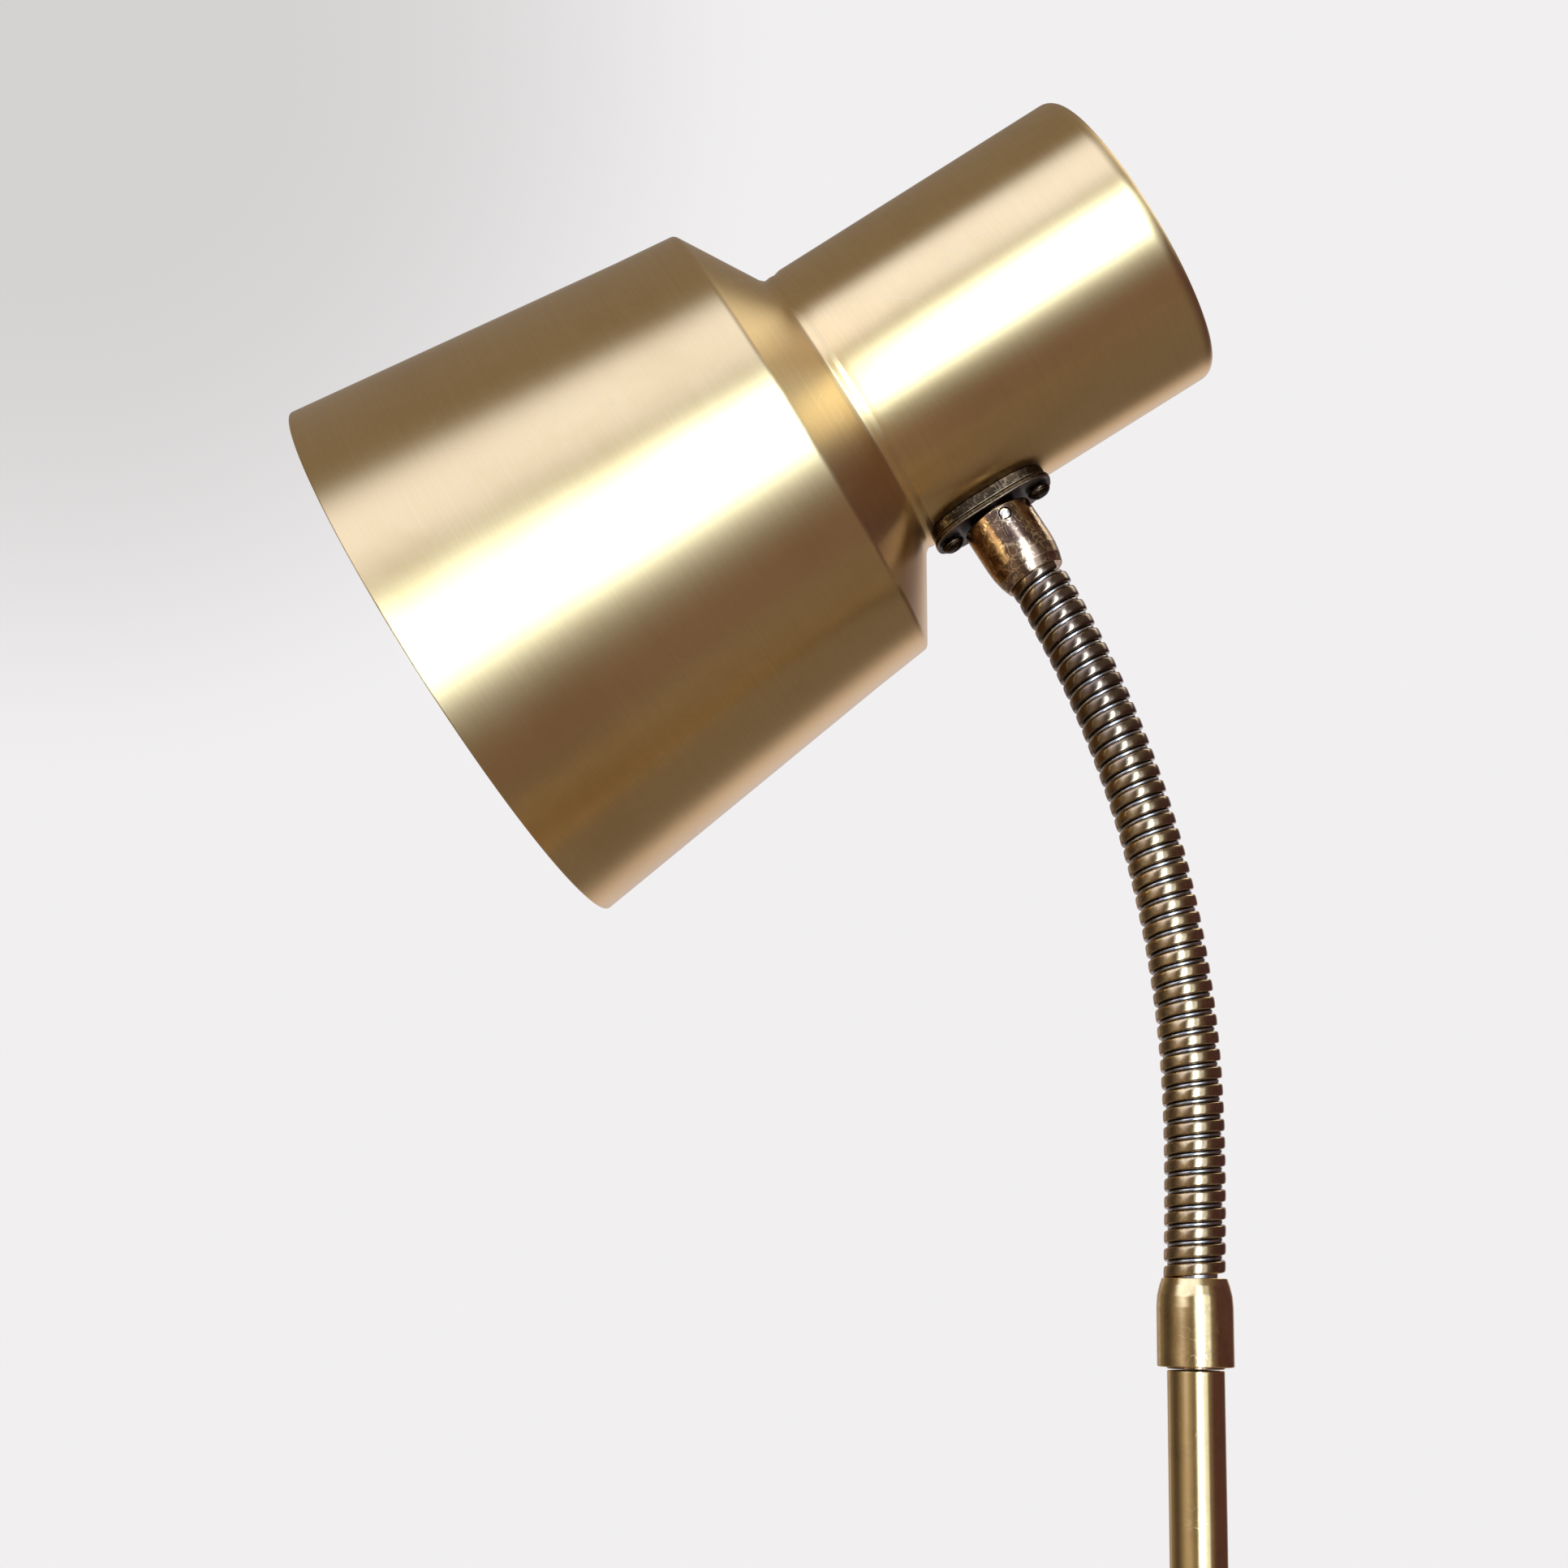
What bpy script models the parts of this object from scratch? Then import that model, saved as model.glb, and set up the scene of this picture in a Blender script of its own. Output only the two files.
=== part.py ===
"""Brass desk lamp with a flexible gooseneck: round weighted base, straight stem, spun shade.

Every piece is its own named object, in metres, +Z up. The origin is the middle of the base's
underside, on the stem's axis. The neck leans in the XZ plane and the shade points towards -X.
Sizes are in millimetres below, and MM turns them into metres.
"""

import math

import bmesh
import bpy
from mathutils import Matrix, Vector

MM = 0.001
GAP = 0.3  # clearance between pieces that touch on the real lamp
MERGE = 1e-6  # metres: joins a turned profile's end points on its axis

# Base
BASE_R = 90.0
BASE_TOP = 24.0
BASE_EDGE_R = 10.0
SHELL_WALL = 1.0
FELT_R = 84.0
FELT_THICK = 2.0
PLATE_R = 88.2
PLATE_THICK = 2.0
WEIGHT_R = 80.0
WEIGHT_BORE_R = 28.0
WEIGHT_TOP = 18.0
BASE_SCREW_RADIUS = 70.0
BASE_SCREW_ANGLES = (90.0, 210.0, 330.0)
SWITCH_X = -50.0
SWITCH_TRAVEL = 3.0
GLAND_Z = 11.0

# Stem
TUBE_R = 6.0
TUBE_WALL = 1.0
NIPPLE_R = 4.7
NIPPLE_BORE_R = 3.2
FERRULE_R = 8.05
FERRULE_TOP_R = 6.85
FERRULE_BOTTOM = 214.0
FERRULE_TOP = 231.1
RING_THICK = 1.2

# Neck: its lean from the vertical grows along its length, gently at first and then evenly
NECK_R = 6.5
NECK_GROOVE_R = 5.65
NECK_BORE_R = 3.0
NECK_LENGTH = 157.2
NECK_LEAN_START = -1.5
NECK_LEAN_END = 29.3
NECK_LEAN_RAMP = 0.3
NECK_LINKS = 12
NECK_BAND = 2.5
LINK_GAP = 1.7
SPIGOT_R = 4.7

# Shade, along its own axis from the front rim (t = 0) to the rear end
SHADE_TILT = 58.23  # turns +Z onto the shade's axis, about +Y
SHADE_WALL = 0.8
RIM_R = 67.4
SHOULDER_R = 55.15
SHOULDER_T = 93.6
CREASE_R = 35.8
CREASE_T = 106.0
BARREL_R = 36.2
SHADE_LENGTH = 184.0

# Cup and plate under the shade: u is the distance from the shade's axis
CUP_T = 122.75
PLATE_U = 38.0
SWIVEL_PLATE_THICK = 1.2
SWIVEL_PLATE_LONG = 15.0
SWIVEL_PLATE_WIDE = 8.8
CUP_TOP_U = 40.3
CUP_BOTTOM_U = 56.9
NECK_END_U = 59.3
CUP_R = 8.3
CUP_MOUTH_R = 7.0
CUP_BORE_R = 6.2
SCREW_SPACING = 11.4
SET_SCREW_U = 42.5
SET_SCREW_TURN = 10.0  # degrees about the cup, from the side towards the shade's rear end
FOOT_U = 33.3

# Lampholder and bulb, along the shade's axis
BRACKET_T = 158.0
BRACKET_THICK = 1.2
BRACKET_HALF = 7.0
HOLDER_FRONT_T = 104.0
HOLDER_JOINT_T = 140.0
HOLDER_REAR_T = 157.7
HOLDER_R = 19.0
BULB_R = 30.0
BULB_WIDE_T = 62.5
BULB_NECK_T = 107.5
BULB_NECK_R = 13.0

# name: (colour, roughness, metallic)
FINISHES = {
    "satin_brass": ((0.62, 0.47, 0.22), 0.32, 1.0),
    "polished_brass": ((0.72, 0.53, 0.24), 0.14, 1.0),
    "aged_bronze": ((0.30, 0.19, 0.10), 0.28, 1.0),
    "steel": ((0.50, 0.51, 0.53), 0.35, 1.0),
    "cast_iron": ((0.10, 0.10, 0.11), 0.75, 0.6),
    "felt": ((0.05, 0.09, 0.06), 0.95, 0.0),
    "black_plastic": ((0.02, 0.02, 0.022), 0.30, 0.0),
    "bulb_glass": ((0.92, 0.92, 0.90), 0.20, 0.0),
    "aluminium": ((0.78, 0.78, 0.80), 0.30, 1.0),
    "lead": ((0.75, 0.66, 0.40), 0.45, 0.0),
}


def clear_scene():
    for item in list(bpy.data.objects):
        bpy.data.objects.remove(item, do_unlink=True)


def new_collection(name):
    made = bpy.data.collections.new(name)
    bpy.context.scene.collection.children.link(made)
    return made


def make_material(name):
    colour, roughness, metallic = FINISHES[name]
    made = bpy.data.materials.new(name)
    made.use_nodes = True
    shader = made.node_tree.nodes["Principled BSDF"]
    shader.inputs["Base Color"].default_value = (*colour, 1.0)
    shader.inputs["Roughness"].default_value = roughness
    shader.inputs["Metallic"].default_value = metallic
    return made


clear_scene()
LAMP = new_collection("gooseneck_lamp")
CUTTERS = new_collection("cutters")
MATERIALS = {name: make_material(name) for name in FINISHES}


def frame(name, place, parent=None):
    """An empty that stands for a piece's own axes."""
    made = bpy.data.objects.new(name, None)
    LAMP.objects.link(made)
    made.parent = parent
    made.matrix_local = place
    return made


def moved(x, y, z):
    return Matrix.Translation(Vector((x, y, z)) * MM)


def add(name, mesh, finish, parent=None, place=None):
    """A piece, or a cutter where finish is None, with its mesh in the axes of parent."""
    made = bpy.data.objects.new(name, mesh)
    (LAMP if finish else CUTTERS).objects.link(made)
    made.parent = parent
    made.matrix_local = place or Matrix.Identity(4)
    if finish:
        mesh.materials.append(MATERIALS[finish])
    else:
        made.hide_render = True
        made.display_type = "WIRE"
    return made


def turned(name, profile, finish, parent=None, place=None, steps=20, closed=False):
    """A shape turned about Z. The profile of (radius, height) runs down its outer side."""
    mesh = bpy.data.meshes.new(name)
    points = [(r * MM, 0.0, z * MM) for r, z in profile]
    edges = [(i, i + 1) for i in range(len(points) - 1)]
    if closed:
        edges.append((len(points) - 1, 0))
    mesh.from_pydata(points, edges, [])
    made = add(name, mesh, finish, parent, place)
    screw = made.modifiers.new("turn", "SCREW")
    screw.axis = "Z"
    screw.angle = math.tau
    screw.steps = screw.render_steps = steps
    screw.use_merge_vertices = True
    screw.merge_threshold = MERGE
    screw.use_smooth_shade = True
    return made


def rod(name, radius, low, high, finish, parent=None, place=None, steps=16):
    profile = [(0, high), (radius, high), (radius, low), (0, low)]
    return turned(name, profile, finish, parent, place, steps)


def sleeve(name, radius, bore, low, high, finish, parent=None, place=None, steps=20):
    profile = [(radius, high), (radius, low), (bore, low), (bore, high)]
    return turned(name, profile, finish, parent, place, steps, closed=True)


def box(name, low, high, finish, parent=None, bevel=0.0):
    low, high = Vector(low) * MM, Vector(high) * MM
    mesh = bpy.data.meshes.new(name)
    shape = bmesh.new()
    bmesh.ops.create_cube(shape, size=1.0)
    bmesh.ops.scale(shape, vec=high - low, verts=shape.verts)
    bmesh.ops.translate(shape, vec=(low + high) / 2, verts=shape.verts)
    shape.to_mesh(mesh)
    shape.free()
    made = add(name, mesh, finish, parent)
    if bevel:
        rounding = made.modifiers.new("rounding", "BEVEL")
        rounding.width = bevel * MM
        rounding.segments = 2
    return made


def hex_nut(name, across_flats, bore, low, high, finish, parent=None, place=None):
    mesh = bpy.data.meshes.new(name)
    shape = bmesh.new()
    radius = across_flats / 2 / math.cos(math.pi / 6) * MM
    depth = (high - low) * MM
    centre = Matrix.Translation((0, 0, (low + high) / 2 * MM))
    bmesh.ops.create_cone(shape, cap_ends=True, segments=6, radius1=radius,
                          radius2=radius, depth=depth, matrix=centre)
    shape.to_mesh(mesh)
    shape.free()
    made = add(name, mesh, finish, parent, place)
    hole = rod(name + "_hole", bore, low - 1, high + 1, None, parent, place)
    boolean(made, hole)
    return made


def oval_prism(name, long, wide, low, high, finish, parent, power=3.0, sides=24):
    """A flat piece whose outline is a rounded oval: long along Z, wide along Y, thick along X."""
    mesh = bpy.data.meshes.new(name)
    shape = bmesh.new()
    ring = []
    for i in range(sides):
        angle = math.tau * i / sides
        c, s = math.cos(angle), math.sin(angle)
        z = math.copysign(abs(c) ** (2 / power), c) * long
        y = math.copysign(abs(s) ** (2 / power), s) * wide
        ring.append(shape.verts.new(Vector((low, y, CUP_T + z)) * MM))
    face = shape.faces.new(ring)
    grown = bmesh.ops.extrude_face_region(shape, geom=[face])["geom"]
    top = [v for v in grown if isinstance(v, bmesh.types.BMVert)]
    bmesh.ops.translate(shape, vec=((high - low) * MM, 0, 0), verts=top)
    bmesh.ops.recalc_face_normals(shape, faces=shape.faces)
    shape.to_mesh(mesh)
    shape.free()
    return add(name, mesh, finish, parent)


def boolean(piece, other, operation="DIFFERENCE"):
    change = piece.modifiers.new(operation.lower(), "BOOLEAN")
    change.operation = operation
    change.solver = "EXACT"
    change.object = other


def smooth_route(route, step):
    """Points about step apart on a smooth curve through the route's own points."""
    ends = [route[0] * 2 - route[1]] + list(route) + [route[-1] * 2 - route[-2]]
    points = []
    for a, b, c, d in zip(ends, ends[1:], ends[2:], ends[3:]):
        count = max(1, round((c - b).length / step))
        for i in range(count):
            t = i / count
            points.append(0.5 * (2 * b + (c - a) * t + (2 * a - 5 * b + 4 * c - d) * t * t
                                 + (3 * b - a - 3 * c + d) * t ** 3))
    return points + [route[-1]]


def wire(name, points, radius, finish, parent=None, resolution=2):
    """A round wire along points in millimetres."""
    data = bpy.data.curves.new(name, "CURVE")
    data.dimensions = "3D"
    data.bevel_depth = radius * MM
    data.bevel_resolution = resolution
    data.use_fill_caps = True
    spline = data.splines.new("POLY")
    spline.points.add(len(points) - 1)
    for item, point in zip(spline.points, points):
        item.co = (*(Vector(point) * MM), 1.0)
    return add(name, data, finish, parent)


def arc(centre_r, centre_z, radius, start, end, count):
    """Points of a profile's round corner, with angles in degrees from +X towards +Z."""
    angles = [math.radians(start + (end - start) * i / count) for i in range(count + 1)]
    return [(centre_r + radius * math.cos(a), centre_z + radius * math.sin(a)) for a in angles]


def along_x(x, y, z, sign=1):
    """Turns a piece's own Z onto +X or -X."""
    return moved(x, y, z) @ Matrix.Rotation(math.radians(90 * sign), 4, "Y")


def build_base_shell():
    centre_r, centre_z = BASE_R - BASE_EDGE_R, BASE_TOP - BASE_EDGE_R
    inner_top = BASE_TOP - SHELL_WALL
    hole = NIPPLE_R + GAP
    outer = [(hole, BASE_TOP)] + arc(centre_r, centre_z, BASE_EDGE_R, 90, 0, 4)
    outer.append((BASE_R, 1.5))
    inner = [(BASE_R - SHELL_WALL, 1.5)]
    inner += arc(centre_r, centre_z, BASE_EDGE_R - SHELL_WALL, 0, 90, 4)
    inner.append((hole, inner_top))
    shell = turned("base_shell", outer + inner, "satin_brass", steps=44, closed=True)
    switch_hole = rod("switch_hole", 6.3, 18, 28, None, place=moved(SWITCH_X, 0, 0))
    gland_hole = rod("gland_hole", 4.5, 80, 96, None, place=along_x(0, 0, GLAND_Z))
    boolean(shell, switch_hole)
    boolean(shell, gland_hole)


def base_screw_profile(grow=0.0):
    """A countersunk screw, or its clearance hole where grow is above 0."""
    end = WEIGHT_TOP + 2 if grow else 16.0
    bottom = 1.0 if grow else FELT_THICK + 2 * GAP
    return [(0, end), (1.7 + grow, end), (1.7 + grow, 4.4), (3.5 + grow, 2.9),
            (3.5 + grow, bottom), (0, bottom)]


def build_base_inside():
    rod("felt_pad", FELT_R, 0, FELT_THICK, "felt", steps=32)
    low = FELT_THICK + GAP
    plate = rod("base_plate", PLATE_R, low, low + PLATE_THICK, "steel", steps=32)
    low += PLATE_THICK + GAP
    weight = sleeve("base_weight", WEIGHT_R, WEIGHT_BORE_R, low, WEIGHT_TOP, "cast_iron", steps=32)
    pocket = rod("switch_pocket", 11.0, 0, 30, None, place=moved(SWITCH_X, 0, 0))
    channel = box("cord_channel", (15, -9, 0), (95, 9, 30), None)
    boolean(weight, pocket)
    boolean(weight, channel)
    for number, angle in enumerate(BASE_SCREW_ANGLES, 1):
        turn = Matrix.Rotation(math.radians(angle), 4, "Z")
        place = turn @ moved(BASE_SCREW_RADIUS, 0, 0)
        turned(f"base_screw_{number}", base_screw_profile(), "steel", place=place, steps=16)
        hole = turned(f"base_screw_hole_{number}", base_screw_profile(GAP), None,
                      place=place, steps=16)
        boolean(plate, hole)
        boolean(weight, hole)


def build_switch():
    place = moved(SWITCH_X, 0, 0)
    under = BASE_TOP - SHELL_WALL - GAP
    housing = [(6.0, 26.2), (6.0, under), (9.0, under), (9.0, 5.5), (0, 5.5),
               (0, 7.5), (5.0, 7.5), (5.0, 26.2)]
    turned("switch_housing", housing, "black_plastic", place=place, closed=True)
    bezel = [(7.6, 26.6), (9.3, 25.6), (9.3, BASE_TOP + GAP), (6.3, BASE_TOP + GAP), (6.3, 26.6)]
    turned("switch_bezel", bezel, "polished_brass", place=place, closed=True)
    button = [(0, 30.2), (2.6, 29.9), (4.2, 29.0), (4.7, 27.8), (4.7, 18.0), (0, 18.0)]
    turned("switch_button", button, "black_plastic", place=place)
    low, high, coil_r, turns, sides = 8.3, 17.2, 3.2, 4, 8
    points = []
    for i in range(turns * sides + 1):
        angle = math.tau * i / sides
        height = low + (high - low) * i / (turns * sides)
        points.append((SWITCH_X + coil_r * math.cos(angle), coil_r * math.sin(angle), height))
    wire("switch_spring", points, 0.4, "steel")


def build_cord_inlet():
    gland = [(5.2, 93.6), (6.2, 92.6), (6.2, 90.3), (4.2, 90.3), (4.2, 87.6), (5.4, 87.6),
             (5.4, 85.5), (2.6, 85.5), (2.6, 93.6)]
    turned("cord_gland", gland, "black_plastic", place=along_x(0, 0, GLAND_Z), steps=24, closed=True)
    block = box("terminal_block", (42, -7, 5), (60, 7, 15), "black_plastic", bevel=0.8)
    for number, y in enumerate((-3.2, 3.2), 1):
        boolean(block, rod(f"terminal_hole_{number}", 1.6, 30, 70, None, place=along_x(0, y, 10)))


def build_stem():
    seat = BASE_TOP + GAP + 2.7
    collar = [(7.4, 36.0), (8.0, 35.3), (8.2, 31.0), (9.6, 27.8), (15.0, 25.4),
              (15.0, BASE_TOP + GAP), (NIPPLE_R + GAP, BASE_TOP + GAP), (NIPPLE_R + GAP, seat),
              (TUBE_R + GAP, seat), (TUBE_R + GAP, 36.0)]
    turned("base_collar", collar, "polished_brass", closed=True)
    tube_top = FERRULE_BOTTOM - 2 * GAP - RING_THICK
    sleeve("stem_tube", TUBE_R, TUBE_R - TUBE_WALL, seat + GAP, tube_top, "polished_brass", steps=24)
    sleeve("stem_nipple", NIPPLE_R, NIPPLE_BORE_R, 13, 44, "steel", steps=24)
    washer_top = BASE_TOP - SHELL_WALL - GAP
    sleeve("nipple_washer", 12.0, NIPPLE_R + GAP, washer_top - 1.5, washer_top, "steel")
    hex_nut("nipple_nut", 17.0, NIPPLE_R + GAP, 15.0, washer_top - 1.5 - GAP, "steel")
    ring_low = tube_top + GAP
    sleeve("ferrule_ring", 6.3, 5.0, ring_low, ring_low + RING_THICK, "aged_bronze", steps=24)
    build_ferrule()


def build_ferrule():
    """Straight sleeve whose upper third is rounded in to meet the neck."""
    round_high, count = 6.0, 4
    profile = []
    for i in range(count + 1):
        angle = math.pi / 2 * (1 - i / count)
        radius = FERRULE_TOP_R + (FERRULE_R - FERRULE_TOP_R) * math.cos(angle)
        profile.append((radius, FERRULE_TOP - round_high * (1 - math.sin(angle))))
    bore = SPIGOT_R + GAP
    profile += [(FERRULE_R, FERRULE_BOTTOM), (bore, FERRULE_BOTTOM), (bore, FERRULE_TOP)]
    turned("neck_ferrule", profile, "polished_brass", steps=24, closed=True)


def neck_lean(s):
    """The neck's lean from the vertical, in radians, at s along its length."""
    u = s / NECK_LENGTH
    ramp = NECK_LEAN_RAMP
    if u < ramp:
        share = u * u / (2 * ramp * (1 - ramp / 2))
    else:
        share = (u - ramp / 2) / (1 - ramp / 2)
    return math.radians(NECK_LEAN_START + (NECK_LEAN_END - NECK_LEAN_START) * share)


def neck_point(s, count=400):
    """The neck's centre line, by adding up short steps from the ferrule's top."""
    x, z = 0.0, FERRULE_TOP
    for i in range(count):
        lean = neck_lean(s * (i + 0.5) / count)
        x -= math.sin(lean) * s / count
        z += math.cos(lean) * s / count
    return Vector((x, 0, z))


def hinge_points():
    """The places where the neck's links meet, evenly spaced along its centre line."""
    spacing = NECK_LENGTH / (NECK_LINKS + 1)
    return [neck_point(spacing * (i + 0.5)) for i in range(NECK_LINKS + 1)]


def link_frame(name, low, high):
    """Its Z runs from low to high, its Y stays level and its origin is at low."""
    way = (high - low).normalized()
    lean = math.atan2(way.x, way.z)
    return frame(name, moved(*low) @ Matrix.Rotation(lean, 4, "Y"))


def ridged(length, low_end, ridges):
    """A band profile from the top down: ridges of the neck's own width with grooves between."""
    groove = (length - ridges * NECK_BAND) / max(1, ridges - 1)
    profile = []
    top = low_end + length
    for i in range(ridges):
        high = top - i * (NECK_BAND + groove)
        profile += [(NECK_R, high), (NECK_R, high - NECK_BAND)]
        if i < ridges - 1:
            profile.append((NECK_GROOVE_R, high - NECK_BAND - groove / 2))
    return profile


def build_neck():
    points = hinge_points()
    for i in range(NECK_LINKS):
        low, high = points[i], points[i + 1]
        parent = link_frame(f"neck_frame_{i + 1:02d}", low, high)
        length = (high - low).length - LINK_GAP
        profile = ridged(length, LINK_GAP / 2, 3)
        profile += [(NECK_BORE_R, LINK_GAP / 2), (NECK_BORE_R, LINK_GAP / 2 + length)]
        turned(f"neck_link_{i + 1:02d}", profile, "aged_bronze", parent, steps=14, closed=True)
    build_neck_ends(points)


def build_neck_ends(points):
    low_length = points[0].z - LINK_GAP / 2 - FERRULE_TOP - GAP
    profile = ridged(low_length, FERRULE_TOP + GAP, 1)
    profile[-1] = (NECK_R, FERRULE_TOP + GAP)
    profile += [(SPIGOT_R, FERRULE_TOP + GAP), (SPIGOT_R, 198), (NECK_BORE_R, 198),
                (NECK_BORE_R, FERRULE_TOP + GAP + low_length)]
    turned("neck_end_lower", profile, "aged_bronze", steps=24, closed=True)
    end = neck_point(NECK_LENGTH)
    high_length = (end - points[-1]).length - LINK_GAP / 2 - GAP
    low = GAP + high_length
    high = NECK_END_U - CUP_BOTTOM_U - GAP
    profile = [(SPIGOT_R, -6.0), (SPIGOT_R, -high), (NECK_R, -high), (NECK_R, low),
               (NECK_BORE_R, low), (NECK_BORE_R, -6.0)]
    flipped = [(r, -z) for r, z in profile]
    turned("neck_end_upper", flipped, "aged_bronze", CUP_FRAME, steps=24, closed=True)


def cup_matrix():
    """In the shade's axes: the origin is the neck's upper end and Z points up through the plate."""
    return moved(NECK_END_U, 0, CUP_T) @ Matrix.Rotation(math.radians(-90), 4, "Y")


def shade_matrix():
    """The shade's own axes, set so that the cup stands on the end of the neck."""
    turn = Matrix.Rotation(math.radians(SHADE_TILT), 4, "Y")
    reach = turn @ Vector((NECK_END_U, 0, CUP_T))
    start = neck_point(NECK_LENGTH) - reach
    return moved(*start) @ turn


SHADE_FRAME = frame("shade_frame", shade_matrix())
CUP_FRAME = frame("cup_frame", cup_matrix(), SHADE_FRAME)


def build_cup():
    height = NECK_END_U - CUP_TOP_U
    mouth = NECK_END_U - CUP_BOTTOM_U
    bell, count = 7.0, 4
    profile = [(CUP_R - 0.3, height), (CUP_R, height - 0.3)]
    for i in range(count + 1):
        angle = math.pi / 2 * i / count
        radius = CUP_MOUTH_R + (CUP_R - CUP_MOUTH_R) * math.cos(angle)
        profile.append((radius, mouth + bell * (1 - math.sin(angle))))
    floor, neck_bore = 6.5, SPIGOT_R + GAP
    profile += [(neck_bore, mouth), (neck_bore, floor), (CUP_BORE_R, floor + 1),
                (CUP_BORE_R, height)]
    cup = turned("socket_cup", profile, "aged_bronze", CUP_FRAME, steps=24, closed=True)
    level = NECK_END_U - SET_SCREW_U
    side = moved(0, 0, level) @ Matrix.Rotation(math.radians(SET_SCREW_TURN), 4, "Z")
    side = side @ Matrix.Rotation(math.radians(90), 4, "X")
    boolean(cup, rod("set_screw_hole", 1.5, 3, 12, None, CUP_FRAME, side))
    screw = rod("socket_set_screw", 1.2, 5.6, CUP_R + 0.1, "steel", CUP_FRAME, side, steps=16)
    boolean(screw, box("set_screw_slot", (-3, -CUP_R - 1, level - 0.25),
                       (3, -CUP_R + 0.4, level + 0.25), None, CUP_FRAME))


def shade_outer():
    """The outside of the shade as (radius, t), from the rear end's middle to the front rim."""
    profile = [(0.0, SHADE_LENGTH)] + arc(BARREL_R - 3.2, SHADE_LENGTH - 3.2, 3.2, 90, 0, 4)
    profile += [(BARREL_R, CREASE_T + 5.0), (CREASE_R, CREASE_T + 1.6),
                (CREASE_R + 0.5, CREASE_T + 0.1)]
    profile += [(SHOULDER_R - 2.0, SHOULDER_T + 1.2), (SHOULDER_R - 0.5, SHOULDER_T + 0.2),
                (SHOULDER_R + 0.1, SHOULDER_T - 1.4), (RIM_R, 0.0)]
    return profile


def shade_inner():
    """The inside, from the front rim to the rear end's middle."""
    wall = SHADE_WALL
    profile = [(RIM_R - wall, 0.0), (SHOULDER_R - wall + 0.1, SHOULDER_T - 1.6),
               (SHOULDER_R - 1.2 - wall, SHOULDER_T + 0.2 - 0.4), (CREASE_R - 0.2 - wall / 2, CREASE_T - 0.7),
               (CREASE_R - wall, CREASE_T + 1.0), (BARREL_R - wall, CREASE_T + 5.0)]
    profile += arc(BARREL_R - 3.2, SHADE_LENGTH - 3.2, 3.2 - wall, 0, 90, 3)
    return profile + [(0.0, SHADE_LENGTH - wall)]


def build_shade():
    profile = shade_outer() + shade_inner()
    shell = turned("shade_shell", profile, "satin_brass", SHADE_FRAME, steps=44)
    for cutter in wall_cutters(4.0):
        boolean(shell, cutter)


def wall_cutters(lead_r):
    """Clearance holes through the shade wall and what is clamped to it: the lead and two screws."""
    cutters = [rod("lead_hole", lead_r, 25, 50, None, SHADE_FRAME, along_x(0, 0, CUP_T))]
    for number, offset in enumerate((-SCREW_SPACING, SCREW_SPACING), 1):
        place = along_x(0, 0, CUP_T + offset)
        cutters.append(rod(f"plate_hole_{number}", 1.8, 25, 50, None, SHADE_FRAME, place, 16))
    return cutters


def build_swivel_plate():
    spacer = oval_prism("saddle_spacer", SWIVEL_PLATE_LONG - 0.4, SWIVEL_PLATE_WIDE - 0.4,
                        30.0, PLATE_U - GAP, "aged_bronze", SHADE_FRAME)
    boolean(spacer, rod("saddle_curve", BARREL_R + GAP, 60, 190, None, SHADE_FRAME, steps=96))
    high = PLATE_U + SWIVEL_PLATE_THICK
    plate = oval_prism("swivel_plate", SWIVEL_PLATE_LONG, SWIVEL_PLATE_WIDE,
                       PLATE_U, high, "aged_bronze", SHADE_FRAME)
    spigot = [(5.9, 50.0), (5.9, SET_SCREW_U + 1.7), (5.2, SET_SCREW_U + 1.4),
              (5.2, SET_SCREW_U - 1.4), (5.9, SET_SCREW_U - 1.7), (5.9, high - 0.6), (0, high - 0.6), (0, 50.0)]
    stub = turned("spigot", spigot[-1:] + spigot[:-1], None, SHADE_FRAME, along_x(0, 0, CUP_T))
    boolean(plate, stub, "UNION")
    for cutter in wall_cutters(3.3):
        boolean(plate, cutter)
        boolean(spacer, cutter)


def build_plate_fasteners():
    for name, offset in (("front", -SCREW_SPACING), ("rear", SCREW_SPACING)):
        place = along_x(0, 0, CUP_T + offset)
        low = PLATE_U + SWIVEL_PLATE_THICK + GAP
        head = [(0, low + 1.9), (1.5, low + 1.8), (2.4, low + 1.35), (2.75, low + 0.7), (2.75, low),
                (1.4, low), (1.4, 30.0), (0, 30.0)]
        screw = turned(f"plate_screw_{name}", head, "aged_bronze", SHADE_FRAME, place, steps=20)
        slot = box(f"plate_slot_{name}", (low + 1.1, -4, CUP_T + offset - 0.4),
                   (low + 4, 4, CUP_T + offset + 0.4), None, SHADE_FRAME)
        boolean(screw, slot)
        hex_nut(f"plate_nut_{name}", 5.5, 1.7, FOOT_U - GAP - 2.4, FOOT_U - GAP, "steel",
                SHADE_FRAME, place)


def build_bracket():
    """An L of sheet steel: its foot is screwed to the wall and its upright carries the holder."""
    foot_high = FOOT_U + BRACKET_THICK
    bracket = box("holder_bracket", (FOOT_U, -6, CUP_T - 15.5), (foot_high, 6, BRACKET_T + 0.6),
                  "steel", SHADE_FRAME)
    upright = box("bracket_upright", (-9, -6, BRACKET_T), (foot_high, 6, BRACKET_T + BRACKET_THICK),
                  None, SHADE_FRAME)
    boolean(bracket, upright, "UNION")
    for cutter in wall_cutters(3.5):
        boolean(bracket, cutter)
    for name, radius, u in (("nipple_hole", 5.3, 0.0), ("lead_pass", 2.6, 25.2)):
        boolean(bracket, rod(name, radius, 150, 165, None, SHADE_FRAME, moved(u, 0, 0)))


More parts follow.
